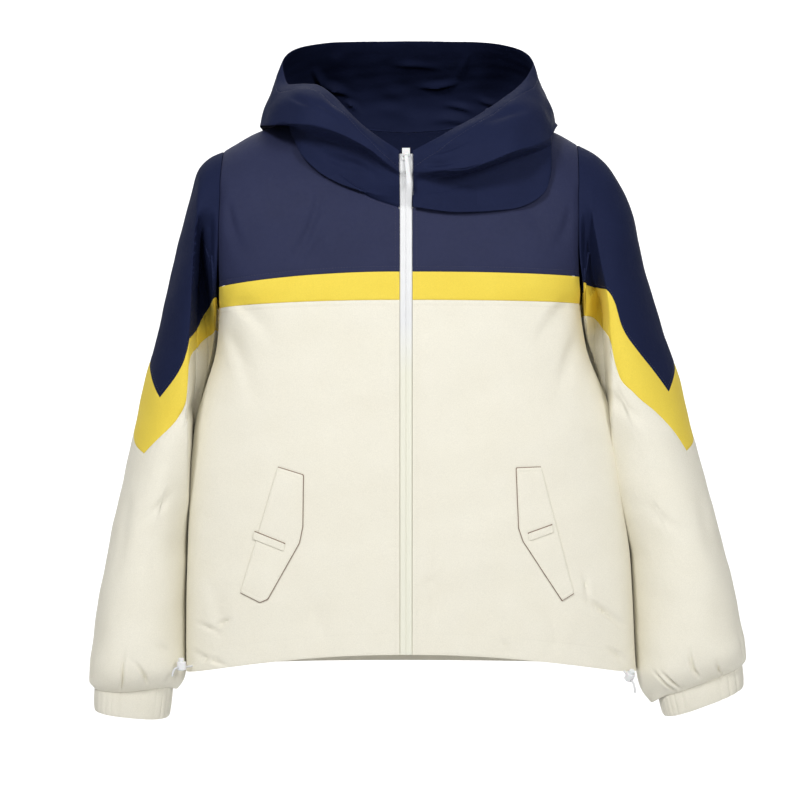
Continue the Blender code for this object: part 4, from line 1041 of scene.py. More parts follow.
def stitches(name, kind, runs, thick=0.5):
    """Rows of topstitching: along each run, one short low thread for each stitch, sunk at both ends.

    A thread is three small ellipses across the run, half as wide at the ends as in the middle. Runs
    are (points, normals); the threads' places, directions and shapes are worked out as whole arrays.
    """
    length = settings().stitch_length / MM
    pitch, points, faces = length * STITCH_PITCH, [], []
    turn = np.linspace(0, 2 * math.pi, STITCH_SIDES, endpoint=False)
    along_it = np.repeat(STITCH_SECTIONS[:, 0], STITCH_SIDES) * length
    size = np.repeat(STITCH_SECTIONS[:, 1], STITCH_SIDES) * thick / 2
    aside = np.tile(np.cos(turn), len(STITCH_SECTIONS)) * size
    above = np.tile(np.sin(turn), len(STITCH_SECTIONS)) * size * 0.8 + np.repeat(
        STITCH_SECTIONS[:, 2], STITCH_SIDES
    )
    template, _, _ = grid_faces(len(STITCH_SECTIONS), STITCH_SIDES, True)
    first = 0
    for line_points, line_normals in runs:
        run = arc(line_points, 0)
        at = np.arange(pitch * 0.7, run[-1] - pitch * 0.5, pitch)
        place = read(at, run, line_points)
        normal = unit(read(at, run, line_normals))
        forward = unit(read(at + 0.5, run, line_points) - place)
        beside = np.cross(forward, normal)
        made = (
            place[:, None]
            + forward[:, None] * along_it[None, :, None]
            + beside[:, None] * aside[None, :, None]
            + normal[:, None] * above[None, :, None]
        )
        points.append(made.reshape(-1, 3))
        steps = first + np.arange(len(at)) * len(along_it)
        faces.append((template[None] + steps[:, None, None]).reshape(-1, 4))
        first += made.shape[0] * made.shape[1]
    obj = write_mesh(name, np.concatenate(points), np.concatenate(faces)[:, ::-1], material(kind))
    worn(obj)


def tube(name, kind, path, radius, around=24, braid=0.0):
    """A round cord along a path, with rounded ends and a low braid worked into its skin.

    Rings are set square to the path in frames carried along it without twist. The braid raises the
    skin by the product of two sine waves that wind round it in opposite directions.
    """
    path = np.asarray(path, float)
    run = arc(path, 0)
    at = np.linspace(0, run[-1], int(run[-1] / TUBE_STEP) + 1)
    line_points = smooth(at, run, path)
    forward = unit(np.gradient(line_points, axis=0))
    reference = np.array([0.0, 1.0, 0.0])
    side = unit(np.cross(forward, reference))
    up = np.cross(side, forward)
    turn = np.linspace(0, 2 * math.pi, around, endpoint=False)
    from_end = np.minimum(at, run[-1] - at)
    closing = np.sqrt(1 - (1 - np.clip(from_end / radius, 0.004, 1)) ** 2)
    strands, twist = BRAID_STRANDS * turn[None], at[:, None] * BRAID_TWIST
    weave = np.sin(strands + twist) * np.sin(strands - twist)
    reach = radius * closing[:, None] * (1 - braid * (0.5 + 0.5 * weave))
    points = (
        line_points[:, None]
        + side[:, None] * (np.cos(turn) * reach)[..., None]
        + up[:, None] * (np.sin(turn) * reach)[..., None]
    )
    faces, row, col = grid_faces(len(at), around, True)
    uv = np.stack([col / around, at[row] * MM], axis=-1)
    obj = write_mesh(name, points.reshape(-1, 3), faces, material(kind), uv)
    worn(obj)
    return obj, line_points, run[-1]


# ------------------------------------------------------------
# Materials
# ------------------------------------------------------------

BAND_SPACING = 0.314  # between the bands of a wave texture of scale 1
# painted shade: the hood, the sleeves and the back yoke take the front yoke's navy darkened by these factors,
# a shaded copy of the same cloth
NAVY_PAINTED_SHADE = (0.62, 0.7, 0.74)  # the navy of the hood, the sleeves and the back yoke, over the front yoke's
THREADS = 1.3  # mm between the ribs of the weave; the real 0.4 mm is too fine to show at this size
ROUGH_WEAVE = {"Distortion": 1.6, "Detail": 2.0, "Detail Scale": 1.5}
CREAM_FROM, CREAM_BY = -0.26, -0.32  # heights in metres between which the zip tape turns creamy
TAPE_CREAM = (1.02, 1.0, 0.84)  # what it gives back of the white there


def add(tree, kind, inputs=(), **settings_of_node):
    """Adds a node, sets its own settings, and gives its inputs values or links them from sockets."""
    made = tree.nodes.new(kind)
    for name, value in settings_of_node.items():
        setattr(made, name, value)
    for name, value in dict(inputs).items():
        if isinstance(value, bpy.types.NodeSocket):
            tree.links.new(value, made.inputs[name])
        else:
            made.inputs[name].default_value = value
    return made


def finished(name, look, *given):
    """A material of one principled shader; look adds the nodes it needs and gives its inputs."""
    made = bpy.data.materials.new(name)
    made.use_nodes = True
    tree = made.node_tree
    tree.nodes.clear()
    shader = add(tree, "ShaderNodeBsdfPrincipled", look(tree, *given))
    output = add(tree, "ShaderNodeOutputMaterial")
    tree.links.new(shader.outputs["BSDF"], output.inputs["Surface"])
    return made


def on_object(tree):
    """Coordinates fixed to the piece, in metres."""
    return add(tree, "ShaderNodeTexCoord").outputs["Object"]


def on_cloth(tree):
    """Coordinates along the cloth, from its UV map, in metres."""
    return add(tree, "ShaderNodeUVMap", uv_map="cut").outputs["UV"]


def noise(tree, where, scale, detail=2.0, **more):
    """Noise on the given coordinates, with as many features a metre as the scale says."""
    inputs = {"Vector": where, "Scale": scale, "Detail": detail, **more}
    return add(tree, "ShaderNodeTexNoise", inputs).outputs["Fac"]


def bands(tree, where, spacing, direction, uneven=()):
    """Light and dark bands this many millimetres apart."""
    inputs = {"Vector": where, "Scale": BAND_SPACING / (spacing * MM), **dict(uneven)}
    return add(tree, "ShaderNodeTexWave", inputs, bands_direction=direction).outputs["Fac"]


def both_of(tree, one, other, operation):
    """Two values joined by an operation, such as their sum."""
    return add(tree, "ShaderNodeMath", {0: one, 1: other}, operation=operation).outputs["Value"]


def spread(tree, value, low, high, **from_range):
    """A value spread over the range from low to high."""
    inputs = {"Value": value, "To Min": low, "To Max": high}
    inputs |= {f"From {end.title()}": at for end, at in from_range.items()}
    return add(tree, "ShaderNodeMapRange", inputs).outputs["Result"]


def mixed(tree, share, one, other):
    """A mix of two colours by a share, 0 for the first and 1 for the other."""
    colours = (c if isinstance(c, bpy.types.NodeSocket) else (*c, 1.0) for c in (one, other))
    inputs = dict(zip((0, 6, 7), (share, *colours)))
    return add(tree, "ShaderNodeMix", inputs, data_type="RGBA").outputs[2]


def relief(tree, height, strength, distance, over=()):
    """The normal of a surface that a height raises by up to this many millimetres."""
    inputs = {"Height": height, "Strength": strength, "Distance": distance * MM, **dict(over)}
    return add(tree, "ShaderNodeBump", inputs).outputs["Normal"]


def varied(tree, where, colour, darker, scale, amount):
    """A colour that drifts towards a darker one in soft patches, by noise on the given coordinates."""
    patches = noise(tree, where, scale, detail=3.0)
    return mixed(tree, spread(tree, patches, low=0.0, high=amount, min=0.35, max=0.7), colour, darker)


def taslan(tree, colour, darker, sheen, gloss=0.22):
    """Taslan: air-textured nylon, plain woven. To the eye it is matt and dry, with a faint grain of
    short ribs both ways, a fine crinkle a few millimetres across, and a soft pale sheen at its edges.
    """
    cut, place = on_cloth(tree), on_object(tree)
    warp = bands(tree, cut, THREADS, "X", ROUGH_WEAVE)
    weft = bands(tree, cut, THREADS / 1.1, "Y", ROUGH_WEAVE)
    slubs = noise(tree, place, scale=900.0)
    broad = noise(tree, place, scale=38.0, detail=3.0, Distortion=0.4)
    fine = noise(tree, place, scale=210.0, detail=4.0, Roughness=0.6)
    weave = both_of(tree, warp, weft, "MULTIPLY")
    crumpled = relief(tree, broad, strength=0.35, distance=2.2)
    crinkled = relief(tree, fine, strength=0.4, distance=0.5, over={"Normal": crumpled})
    woven = relief(tree, weave, strength=0.3, distance=0.16, over={"Normal": crinkled})
    grain = spread(tree, slubs, low=0.96, high=1.03, min=0.3, max=0.7)
    tones = {0: varied(tree, place, colour, darker, scale=24.0, amount=0.35), 1: grain}
    return {
        "Base Color": add(tree, "ShaderNodeVectorMath", tones, operation="MULTIPLY").outputs["Vector"],
        "Roughness": spread(tree, fine, low=0.6, high=0.78),
        "IOR": 1.5,
        "Specular IOR Level": gloss,
        "Sheen Weight": sheen,
        "Sheen Roughness": 0.45,
        "Normal": woven,
    }


def twill_tape(tree, colour, darker):
    """Zip tape: polyester herringbone, woven narrow and flat. It looks smooth and a little brighter
    than the shell, with fine ribs running along it. Low on the jacket its white turns to cream."""
    cut, place = on_cloth(tree), on_object(tree)
    height = add(tree, "ShaderNodeSeparateXYZ", {"Vector": place}).outputs["Z"]
    creamy = spread(tree, height, low=0.0, high=1.0, min=CREAM_FROM, max=CREAM_BY)
    white = varied(tree, place, colour, darker, scale=60.0, amount=0.4)
    ribs = bands(tree, cut, spacing=0.9, direction="X")
    herringbone = both_of(tree, ribs, bands(tree, cut, spacing=1.2, direction="DIAGONAL"), "ADD")
    return {
        "Base Color": mixed(tree, creamy, white, shaded(colour, TAPE_CREAM)),
        "Roughness": 0.55,
        "IOR": 1.5,
        "Specular IOR Level": 0.4,
        "Sheen Weight": 0.1,
        "Normal": relief(tree, herringbone, strength=0.5, distance=0.12),
    }


def moulded(tree, colour, darker):
    """Acetal: injection moulded with a fine spark-eroded texture. It looks dense, even and waxy, with
    soft highlights that a faint grain breaks up."""
    place = on_object(tree)
    grain = noise(tree, place, scale=2600.0)
    return {
        "Base Color": varied(tree, place, colour, darker, scale=160.0, amount=0.5),
        "Roughness": spread(tree, grain, low=0.28, high=0.46),
        "IOR": 1.48,
        "Subsurface Weight": 0.08,
        "Subsurface Scale": 0.6 * MM,
        "Normal": relief(tree, grain, strength=0.25, distance=0.06),
    }


def thread(tree, colour, darker):
    """Polyester sewing thread: two plies, spun and slightly glossy, so each stitch catches a little
    light along its top. The plies are drawn as bands 0.5 mm apart."""
    place = on_object(tree)
    plies = bands(tree, place, spacing=0.5, direction="DIAGONAL")
    return {
        "Base Color": varied(tree, place, colour, darker, scale=400.0, amount=0.6),
        "Roughness": 0.5,
        "Sheen Weight": 0.15,
        "Normal": relief(tree, plies, strength=0.4, distance=0.08),
    }


def braided(tree, colour, darker):
    """Elastic cord: a round braid of textured polyester over rubber. It looks soft and slightly fuzzy,
    with small crossing plaits."""
    round_it = {"Vector": on_cloth(tree), "Scale": (2.6 * MM * math.pi, 1.0, 1.0)}
    scaled = add(tree, "ShaderNodeMapping", round_it).outputs["Vector"]
    plaits = []
    for turn in (math.pi / 4, -math.pi / 4):
        tilted = add(tree, "ShaderNodeMapping", {"Vector": scaled, "Rotation": (0.0, 0.0, turn)})
        plaits.append(bands(tree, tilted.outputs["Vector"], spacing=0.7, direction="X"))
    both = both_of(tree, *plaits, "MAXIMUM")
    return {
        "Base Color": mixed(tree, both, darker, colour),
        "Roughness": 0.7,
        "Sheen Weight": 0.2,
        "Normal": relief(tree, both, strength=0.7, distance=0.2),
    }


def paper(tree):
    """Matt paper, for the floor and the wall: even and dry, with a faint tooth."""
    tooth = add(tree, "ShaderNodeTexNoise", {"Vector": on_object(tree), "Scale": 300.0})
    bump = add(tree, "ShaderNodeBump", {"Height": tooth.outputs["Fac"], "Strength": 0.05})
    return {"Base Color": (*linear("#cfcfcf"), 1.0), "Roughness": 0.9, "Normal": bump.outputs["Normal"]}


def shaded(colour, by):
    """A colour times one factor, or times one for each of its red, green and blue."""
    return tuple(float(c) for c in np.multiply(colour, by))


def make_material(kind):
    """Each finish by its name, in the colours of the settings and a darker shade of each."""
    s = settings()
    navy, yellow, cream, white = (tuple(c) for c in (s.navy, s.yellow, s.cream, s.white))
    # painted shade: the navy darkened for the hood, the sleeves and the back yoke
    painted_shade_navy, painted_shade_cream = shaded(navy, NAVY_PAINTED_SHADE), shaded(cream, 0.93)
    looks = {
        "navy_taslan": (taslan, navy, shaded(navy, 0.8), 0.02),
        "navy_taslan_painted_shade": (taslan, painted_shade_navy, shaded(painted_shade_navy, 0.8), 0.0, 0.06),
        "yellow_taslan": (taslan, yellow, shaded(yellow, (0.95, 0.9, 0.75)), 0.04),
        "cream_taslan": (taslan, cream, shaded(cream, (0.96, 0.95, 0.92)), 0.04),
        # painted shade: the cuffs' cream, darkened for the shade of their gathers
        "cream_taslan_painted_shade": (taslan, painted_shade_cream, shaded(cream, (0.84, 0.83, 0.8)), 0.04),
        "zip_tape_twill": (twill_tape, white, shaded(white, 0.9)),
        "acetal": (moulded, white, shaded(white, 0.94)),
        "elastic_braid": (braided, white, shaded(white, 0.62)),
        "navy_thread": (thread, shaded(navy, 0.8), shaded(navy, 0.6)),
        "yellow_thread": (thread, shaded(yellow, 0.92), shaded(yellow, 0.8)),
        "cream_thread": (thread, shaded(cream, 0.95), shaded(cream, 0.82)),
        # a dark taupe for the painted shadow line along the flaps' edges
        "painted_shadow_thread": (thread, linear("#8b7565"), linear("#6d5a4c")),
    }
    return finished(kind, *looks[kind])


def material(kind):
    """The finish of that name, made when it is first asked for."""
    return bpy.data.materials.get(kind) or make_material(kind)


# ------------------------------------------------------------
# Folds on each surface
# ------------------------------------------------------------

# Millimetres over which the body's folds ease in from the side, the shoulder, the neck and the zip,
# and a sleeve's from the armhole, and the degrees over which those do from the underarm. Then the dip
# on both sides of the armhole's seam: its depth and reach, the height from which it eases in and over
# how much, and over how much it ends above the underarm.
SIDE_FADE, SHOULDER_FADE, NECK_FADE, ZIP_FADE, SLEEVE_FADE, UNDERARM_FADE = 20, 26, 16, 9, 22, 14
DIP, DIP_REACH, DIP_FROM, DIP_EASES, DIP_ENDS = 1.5, 5, -88, 24, 30
# The hood's lip and bowl, in shares of the way round the neck, and where up the profile the face and
# the rim begin, in its points; each with what it fades over, and the share of the folds lost at the rim.
LIP_TO, LIP_FADE, BOWL_FROM, BOWL_FADE, HOOD_ZIP_FADE = 0.52, 0.08, 0.47, 0.06, 0.05
FACE_FROM, FACE_FADE, RIM_FROM, RIM_FADE, RIM_LOSS, HOOD_FOOT_FADE = 4.1, 0.7, 6.4, 0.6, 0.55, 0.35


def body_folds(side, face, x, z):
    """Height of the folds of one half of the body.

    Creases and low waves fade out at the zip, the armhole, the side seam, the shoulder and the neck.
    At the armhole the cloth dips by a bell of the distance, as it does on the sleeve.
    """
    out = np.abs(x)
    edge = np.where(z > UNDERARM[side], armhole_x(side, z), body_half_width(SIDES[side] + 0 * z, z))
    from_side = np.maximum(edge - out, 0)
    below = np.maximum(smooth(out, SHOULDER["out"], SHOULDER["height"]) - z, 0)
    neck = along(NECKLINE_FRONT if face == "front" else NECKLINE_BACK, np.linspace(0, 1, 60))
    from_neck = np.sqrt(((out[..., None] - neck[:, 0]) ** 2 + (z[..., None] - neck[:, 1]) ** 2).min(axis=-1))
    fade = ease(from_side / SIDE_FADE) * ease(below / SHOULDER_FADE) * ease(from_neck / NECK_FADE)
    if face == "front":
        fade = fade * ease((out - ZIP_EDGE) / ZIP_FADE)
    table = FRONT_CREASES if face == "front" else BACK_CREASES
    low = ripple(x, z, height=1.0, length=150, phase=0.4)
    low = low + ripple(x, z, height=0.45, length=62, phase=2.0)
    dip = DIP * bell(from_side, DIP_REACH) * ease((z - UNDERARM[side]) / DIP_ENDS)
    dip = dip * ease((DIP_FROM - z) / DIP_EASES)
    swell = beside_body(side, z) * bell(from_side, BESIDE_REACH)
    return fade * (creases(x, z, table) + low) - dip + swell


def sleeve_folds(side, angle, points, from_top):
    """Height of a sleeve's folds, in the plane of (distance round it, height).

    They start past the armhole's dip and run down to the cuff, and shallow waves join them.
    """
    at, z = angle * 1.15, points[..., 2]
    fade = ease(from_top / SLEEVE_FADE)
    low = ripple(at + 40 * SIDES[side], z, height=1.1, length=120, phase=1.1)
    low = low + ripple(at, z, height=0.5, length=52, phase=0.3 + SIDES[side])
    wrap = ease((180 - np.abs(angle)) / UNDERARM_FADE)
    dip = DIP * bell(from_top, DIP_REACH) * ease((DIP_FROM - z) / DIP_EASES)
    swell = beside_body(side, z) * bell(180 - np.abs(angle), BESIDE_ANGLE)
    return fade * wrap * (creases(at, z, SLEEVE_CREASES[side]) + low) - dip + swell


def hood_folds(share, level, points):
    """Height of the hood's folds: the lip's on its front half, the bowl's behind them.

    They fade out at the neck seam and the zip, and by about half at the rim.
    """
    x, z = points[..., 0], points[..., 2]
    lip = ease((LIP_TO - share) / LIP_FADE)
    bowl = ease((share - BOWL_FROM) / BOWL_FADE) * ease((level - FACE_FROM) / FACE_FADE)
    at_rim = RIM_LOSS * ease((level - RIM_FROM) / RIM_FADE)
    fade = ease(level / HOOD_FOOT_FADE) * ease(share / HOOD_ZIP_FADE) * (1 - at_rim)
    low = ripple(x, z + points[..., 1], height=1.4, length=90, phase=0.8)
    low = low + ripple(x, z - points[..., 1], height=0.6, length=38, phase=1.9)
    return fade * (lip * creases(x, z, LIP_CREASES) + bowl * creases(x, z, BOWL_CREASES) + low)


# ------------------------------------------------------------
# Settings and pieces
# ------------------------------------------------------------


def length_setting(name, description, default, low, high):
    """A length that a user may change, given in millimetres."""
    return FloatProperty(
        name=name,
        description=description,
        default=default * MM,
        min=low * MM,
        max=high * MM,
        precision=4,
        unit="LENGTH",
    )


def colour_setting(name, description, hex_colour):
    """A colour that a user may change."""
    default = linear(hex_colour)
    return FloatVectorProperty(
        name=name, description=description, default=default, size=3, min=0.0, max=1.0, subtype="COLOR"
    )


class JacketSettings(bpy.types.PropertyGroup):
    """Sizes and colours that a user would change."""

    cloth_thickness: length_setting(
        "Cloth thickness", "Wall of each cloth piece, with its turned-in allowance", 1.1, 0.3, 2.0
    )
    stitch_length: length_setting(
        "Stitch length", "Length of one stitch of the topstitching that shows", 2.6, 1.5, 5.0
    )
    cord_diameter: length_setting("Hem cord", "Diameter of the elastic cord at the hem", 2.6, 1.5, 3.0)
    navy: colour_setting("Navy", "Shell of the hood, yoke and upper sleeves", "#262b4a")
    yellow: colour_setting("Yellow", "Shell of the band across the chest and round the arms", "#edd450")
    cream: colour_setting("Cream", "Shell of the body, lower sleeves and cuffs", "#ece8d9")
    white: colour_setting("White", "Zip, cord locks and hem cord", "#e9eaeb")


def settings():
    """The jacket's settings as they stand in the scene."""
    return bpy.context.scene.jacket


LENS, SENSOR, CAMERA_PLACE = 112.5, 36.0, (-0.007, -3.0, -0.35)  # the first two in mm, the place in m
SURROUND = 0.31  # brightness of the even white light from all round


class JACKET_OT_stage(bpy.types.Operator):
    """Sets up the camera, a pale floor that curves up into a wall, and soft light"""

    bl_idname = "jacket.stage"
    bl_label = "Camera, Floor and Light"

    def execute(self, context):
        scene = context.scene
        camera = bpy.data.objects.new("camera", bpy.data.cameras.new("camera"))
        camera.data.lens, camera.data.sensor_width = LENS, SENSOR
        camera.location = CAMERA_PLACE
        camera.rotation_euler = (math.pi / 2, 0.0, 0.0)
        scene.collection.objects.link(camera)
        scene.camera = camera
        scene.view_settings.view_transform = "Standard"
        scene.view_settings.look = "None"
        self.make_sweep()
        self.make_lights(scene)
        return {"FINISHED"}

    def make_sweep(self):
        """A floor, a quarter circle and a wall, as one profile drawn out sideways."""
        floor, back, bend, rise, reach = CAD_BOUNDS[0][2] - 0.45, 6.0, 2.4, 7.0, 9.0
        turn = np.linspace(0, math.pi / 2, 24)
        y = np.concatenate([[-reach, 0.0], back - bend + bend * np.sin(turn), [back]])
        z = np.concatenate([[floor, floor], floor + bend - bend * np.cos(turn), [floor + rise]])
        x = np.linspace(-reach, reach, 5)
        points = np.stack([np.tile(x, (len(y), 1)), *(np.repeat(v[:, None], 5, axis=1) for v in (y, z))], -1)
        faces, _, _ = grid_faces(len(y), 5)
        matt_paper = finished("matt_paper", paper)
        write_mesh("backdrop", points.reshape(-1, 3) / MM, faces, matt_paper)

    def make_lights(self, scene):
        """An even white surround, and large soft lights in front, above and behind."""
        world = bpy.data.worlds.new("surround")
        world.use_nodes = True
        background = world.node_tree.nodes["Background"]
        background.inputs["Color"].default_value = (1.0, 1.0, 1.0, 1.0)
        background.inputs["Strength"].default_value = SURROUND
        scene.world = world
        lights = (  # name, place, what it faces, width in metres, power in watts
            ("key", (-1.25, -2.6, 1.6), (0.0, 0.0, -0.15), 0.65, 57.0),
            ("second", (1.3, -2.75, 0.85), (0.0, 0.0, -0.15), 0.75, 38.0),
            ("wall", (0.0, 3.0, 3.6), (0.0, 6.0, 0.2), 4.0, 420.0),
            ("back", (0.5, 3.2, 0.6), (0.0, 0.0, -0.3), 1.5, 27.0),
        )
        for name, place, target, size, power in lights:
            data = bpy.data.lights.new(name, "AREA")
            data.shape, data.size, data.energy = "SQUARE", size, power
            light = bpy.data.objects.new(name, data)
            light.location = place
            towards = Vector(target) - Vector(place)
            light.rotation_euler = towards.to_track_quat("-Z", "Y").to_euler()
            scene.collection.objects.link(light)


class JACKET_OT_hem_cords(bpy.types.Operator):
    """Makes the elastic cord that leaves the hem on each side, runs through its lock and hangs"""

    bl_idname = "jacket.hem_cords"
    bl_label = "Hem Cords"

    def execute(self, context):
        for side in SIDES:
            path = hem_cord_path(side)
            diameter = settings().cord_diameter
            obj, line_points, length = tube(
                f"elastic_cord_{side}", "elastic_braid", path, diameter / MM / 2, braid=0.1
            )
            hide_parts(f"hem_cord_{side}")
        return {"FINISHED"}


def hem_cord_path(side):
    """Straight from the hem through the lock, then a quadratic curve down to the free end."""
    start, hole = np.array(CORD_START[side]), np.array(LOCK_HOLE[side])
    towards = unit(hole - start)
    leaves = hole + towards * (LOCK_RADIUS + 1.0)
    knee = leaves + towards * CORD_TAIL * TAIL_STRAIGHT
    tip = knee + towards - np.array([0, 0, CORD_TAIL * TAIL_DROP])
    t = np.linspace(0, 1, 13)[1:, None]
    bend = leaves * (1 - t) ** 2 + knee * 2 * t * (1 - t) + tip * t * t
    return np.concatenate([start + (leaves - start) * np.linspace(0, 1, 8)[:, None], bend])


class JACKET_OT_body(bpy.types.Operator):
    """Makes the yoke, the band and the lower body, front and back, with their topstitching"""

    bl_idname = "jacket.body"
    bl_label = "Body"

    def execute(self, context):
        yoke_seams = (("bottom", STITCH_OFFSET),)
        panel_seams = (("bottom", HEM_TURNED_UP), ("top", STITCH_OFFSET))
        levels = (  # name, finish, thread, its places, its height, and its rows of topstitching
            ("yoke", "navy_taslan", "navy_thread", yoke_places, 170, yoke_seams),
            ("band", "yellow_taslan", "yellow_thread", band_places, 34, ()),
            ("panel", "cream_taslan", "cream_thread", panel_places, 420, panel_seams),
        )
        for level, kind, sewn, places, height, seams in levels:
            runs = []
            for side in SIDES:
                zip_edge = seams + (("inner", STITCH_OFFSET - 1.0),)
                part = self.half(side, "front", places, height, GRID_STEP)
                name = f"cloth_front_{level}_{side}"
                obj, shown = cloth(name, kind, [part], zip_edge)
                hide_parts(f"front_{level}_{side}")
                runs += [beside_edge(shown[0], part[1], *seam) for seam in zip_edge]
            # the back yoke takes the navy with painted shade
            behind = "navy_taslan_painted_shade" if level == "yoke" else kind
            runs += self.back(level, behind, places, height, seams)
            stitches(f"stitches_body_{level}", sewn, runs)
        return {"FINISHED"}

    def carrier(self, level, side, face):
        """What a piece hangs from: the level above it, and for the yoke no other piece."""
        name = f"cloth_{face}_{{}}" + (f"_{side}" if face == "front" else "")
        above = {"band": name.format("yoke"), "panel": name.format("band")}
        return [above[level]] if level in above else []

    def half(self, side, face, places, height, step):
        """A grid of one half of a level, lifted by its folds, with its outward normals."""
        v = shares(height, step, LINES_AT_EDGE if height > 60 else LINES_AT_EDGE[:4])
        out_z = places(side, face, across(HALF_WIDTH, step), v)
        points, normal = torso(face, SIDES[side] * out_z[..., 0], out_z[..., 1])
        lift = body_folds(side, face, points[..., 0], points[..., 2])
        return points + normal * lift[..., None], normal

    def back(self, level, kind, places, height, seams):
        """The back in one piece: its halves are welded wherever their centre edges meet."""
        right, left = (self.half(side, "back", places, height, BACK_GRID_STEP) for side in SIDES)
        rows, cols = right[0].shape[:2]
        one = np.arange(rows) * cols
        other = one + rows * cols
        joined = np.abs(left[0][:, 0, 0]) < SEAM / 2
        edges = ("bottom", "top", "outer")
        obj, shown = cloth(
            f"cloth_back_{level}",
            kind,
            [right, left],
            seams,
            weld=(one[joined], other[joined]),
            open_edges=edges,
        )
        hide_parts(f"back_{level}")
        halves = zip(shown, (right[1], left[1]))
        return [beside_edge(points, normals, *seam) for points, normals in halves for seam in seams]


class JACKET_OT_sleeves(bpy.types.Operator):
    """Makes each sleeve: the pointed upper piece, the band round the arm and the lower sleeve"""

    bl_idname = "jacket.sleeves"
    bl_label = "Sleeves"

    def execute(self, context):
        for side in SIDES:
            self.make_sleeve(side)
        return {"FINISHED"}

    def make_sleeve(self, side):
        """The sleeve's surface cut at its two seams, with a piece for each part between the cuts.

        Each column of a piece runs straight down the table's rows from one seam to the next, with more
        columns in front of the underarm, where the seams climb and the cloth folds back.
        """
        knots = [-180, -UPPER_SLEEVE_ENDS, 0, POINT_ANGLE[side], 82, 132, UPPER_SLEEVE_ENDS, 180]
        steps = [3.2, 3.2, 2.2, 2.0, 1.1, 2.2, 2.2]
        gaps = zip(knots, knots[1:], steps)
        spans = [np.linspace(a, b, int((b - a) / step) + 2)[:-1] for a, b, step in gaps]
        angles = np.concatenate(spans + [[180.0]])
        upper, lower = seam_rows(side, angles, "upper"), seam_rows(side, angles, "lower")
        held = np.abs(angles) <= UPPER_SLEEVE_ENDS + 0.01
        upper = np.where(held, np.maximum(upper, 0.35), 0.0)
        top, foot = np.zeros_like(angles), np.full_like(angles, len(SLEEVE[side]["depth"]) - 1)
        whole = slice(0, -1)  # the last angle is the first one again
        levels = (  # name, finish, thread, its columns, first and last rows, its length, and its topstitching
            # the upper sleeve's navy carries painted shade
            ("upper", "navy_taslan_painted_shade", "navy_thread", held, top, upper, 230, (("top", STITCH_OFFSET),)),
            ("band", "yellow_taslan", "yellow_thread", whole, upper, lower, 64, ()),
            ("lower", "cream_taslan", "cream_thread", whole, lower, foot, 330, (("bottom", STITCH_OFFSET),)),
        )
        for level, kind, sewn, kept, start, end, length, seams in levels:
            closed = level != "upper"
            v = shares(length, GRID_STEP, LINES_AT_EDGE)[:, None]
            at = start[kept][None] * (1 - v) + end[kept][None] * v
            angle = np.broadcast_to(angles[kept][None], at.shape)
            points, normal = sleeve_points(side, angle, at), sleeve_normals(side, angle, at)
            for row, towards in ((0, 1), (-1, -2)):
                points[row] = points[row] + unit(points[towards] - points[row]) * SEAM / 2
            from_top = self.from_top(side, angle, at)
            points, back = underarm_fold(side, angle, at, points, from_top)
            normal = self.turned(points, normal, closed, back)
            points = points + normal * sleeve_folds(side, angle, points, from_top)[..., None]
            edges = ("bottom", "top") if closed else tuple(EDGES)
            name = f"cloth_sleeve_{level}_{side}"
            obj, shown = cloth(name, kind, [(points, normal)], seams, closed, None, edges)
            if level == "lower":
                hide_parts(f"sleeve_lower_front_{side}", f"sleeve_lower_back_{side}")
            else:
                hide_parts(f"sleeve_{level}_{side}")
            runs = [beside_edge(shown[0], normal, *seam) for seam in seams]
            if runs:
                stitches(f"stitches_sleeve_{level}_{side}", sewn, runs)

    def from_top(self, side, angle, at):
        """Distance of each point from the armhole, down its own column of the whole sleeve."""
        fine = np.linspace(0, len(SLEEVE[side]["depth"]) - 1, 160)
        run = arc(sleeve_points(side, angle[:1], fine[:, None]), 0)
        return np.stack([np.interp(at[:, j], fine, run[:, j]) for j in range(at.shape[1])], axis=1)

    def turned(self, points, normal, closed, back):
        """The normals, turned to the folded surface's own where the fold has moved it."""
        padded = np.concatenate([points[:, -1:], points, points[:, :1]], axis=1) if closed else points
        folded = grid_normals(padded)
        folded = folded[:, 1:-1] if closed else folded
        folded = folded * np.sign((folded * normal).sum(axis=-1, keepdims=True))
        share = ease(np.abs(back) / 2)[..., None]
        return unit(normal * (1 - share) + folded * share)


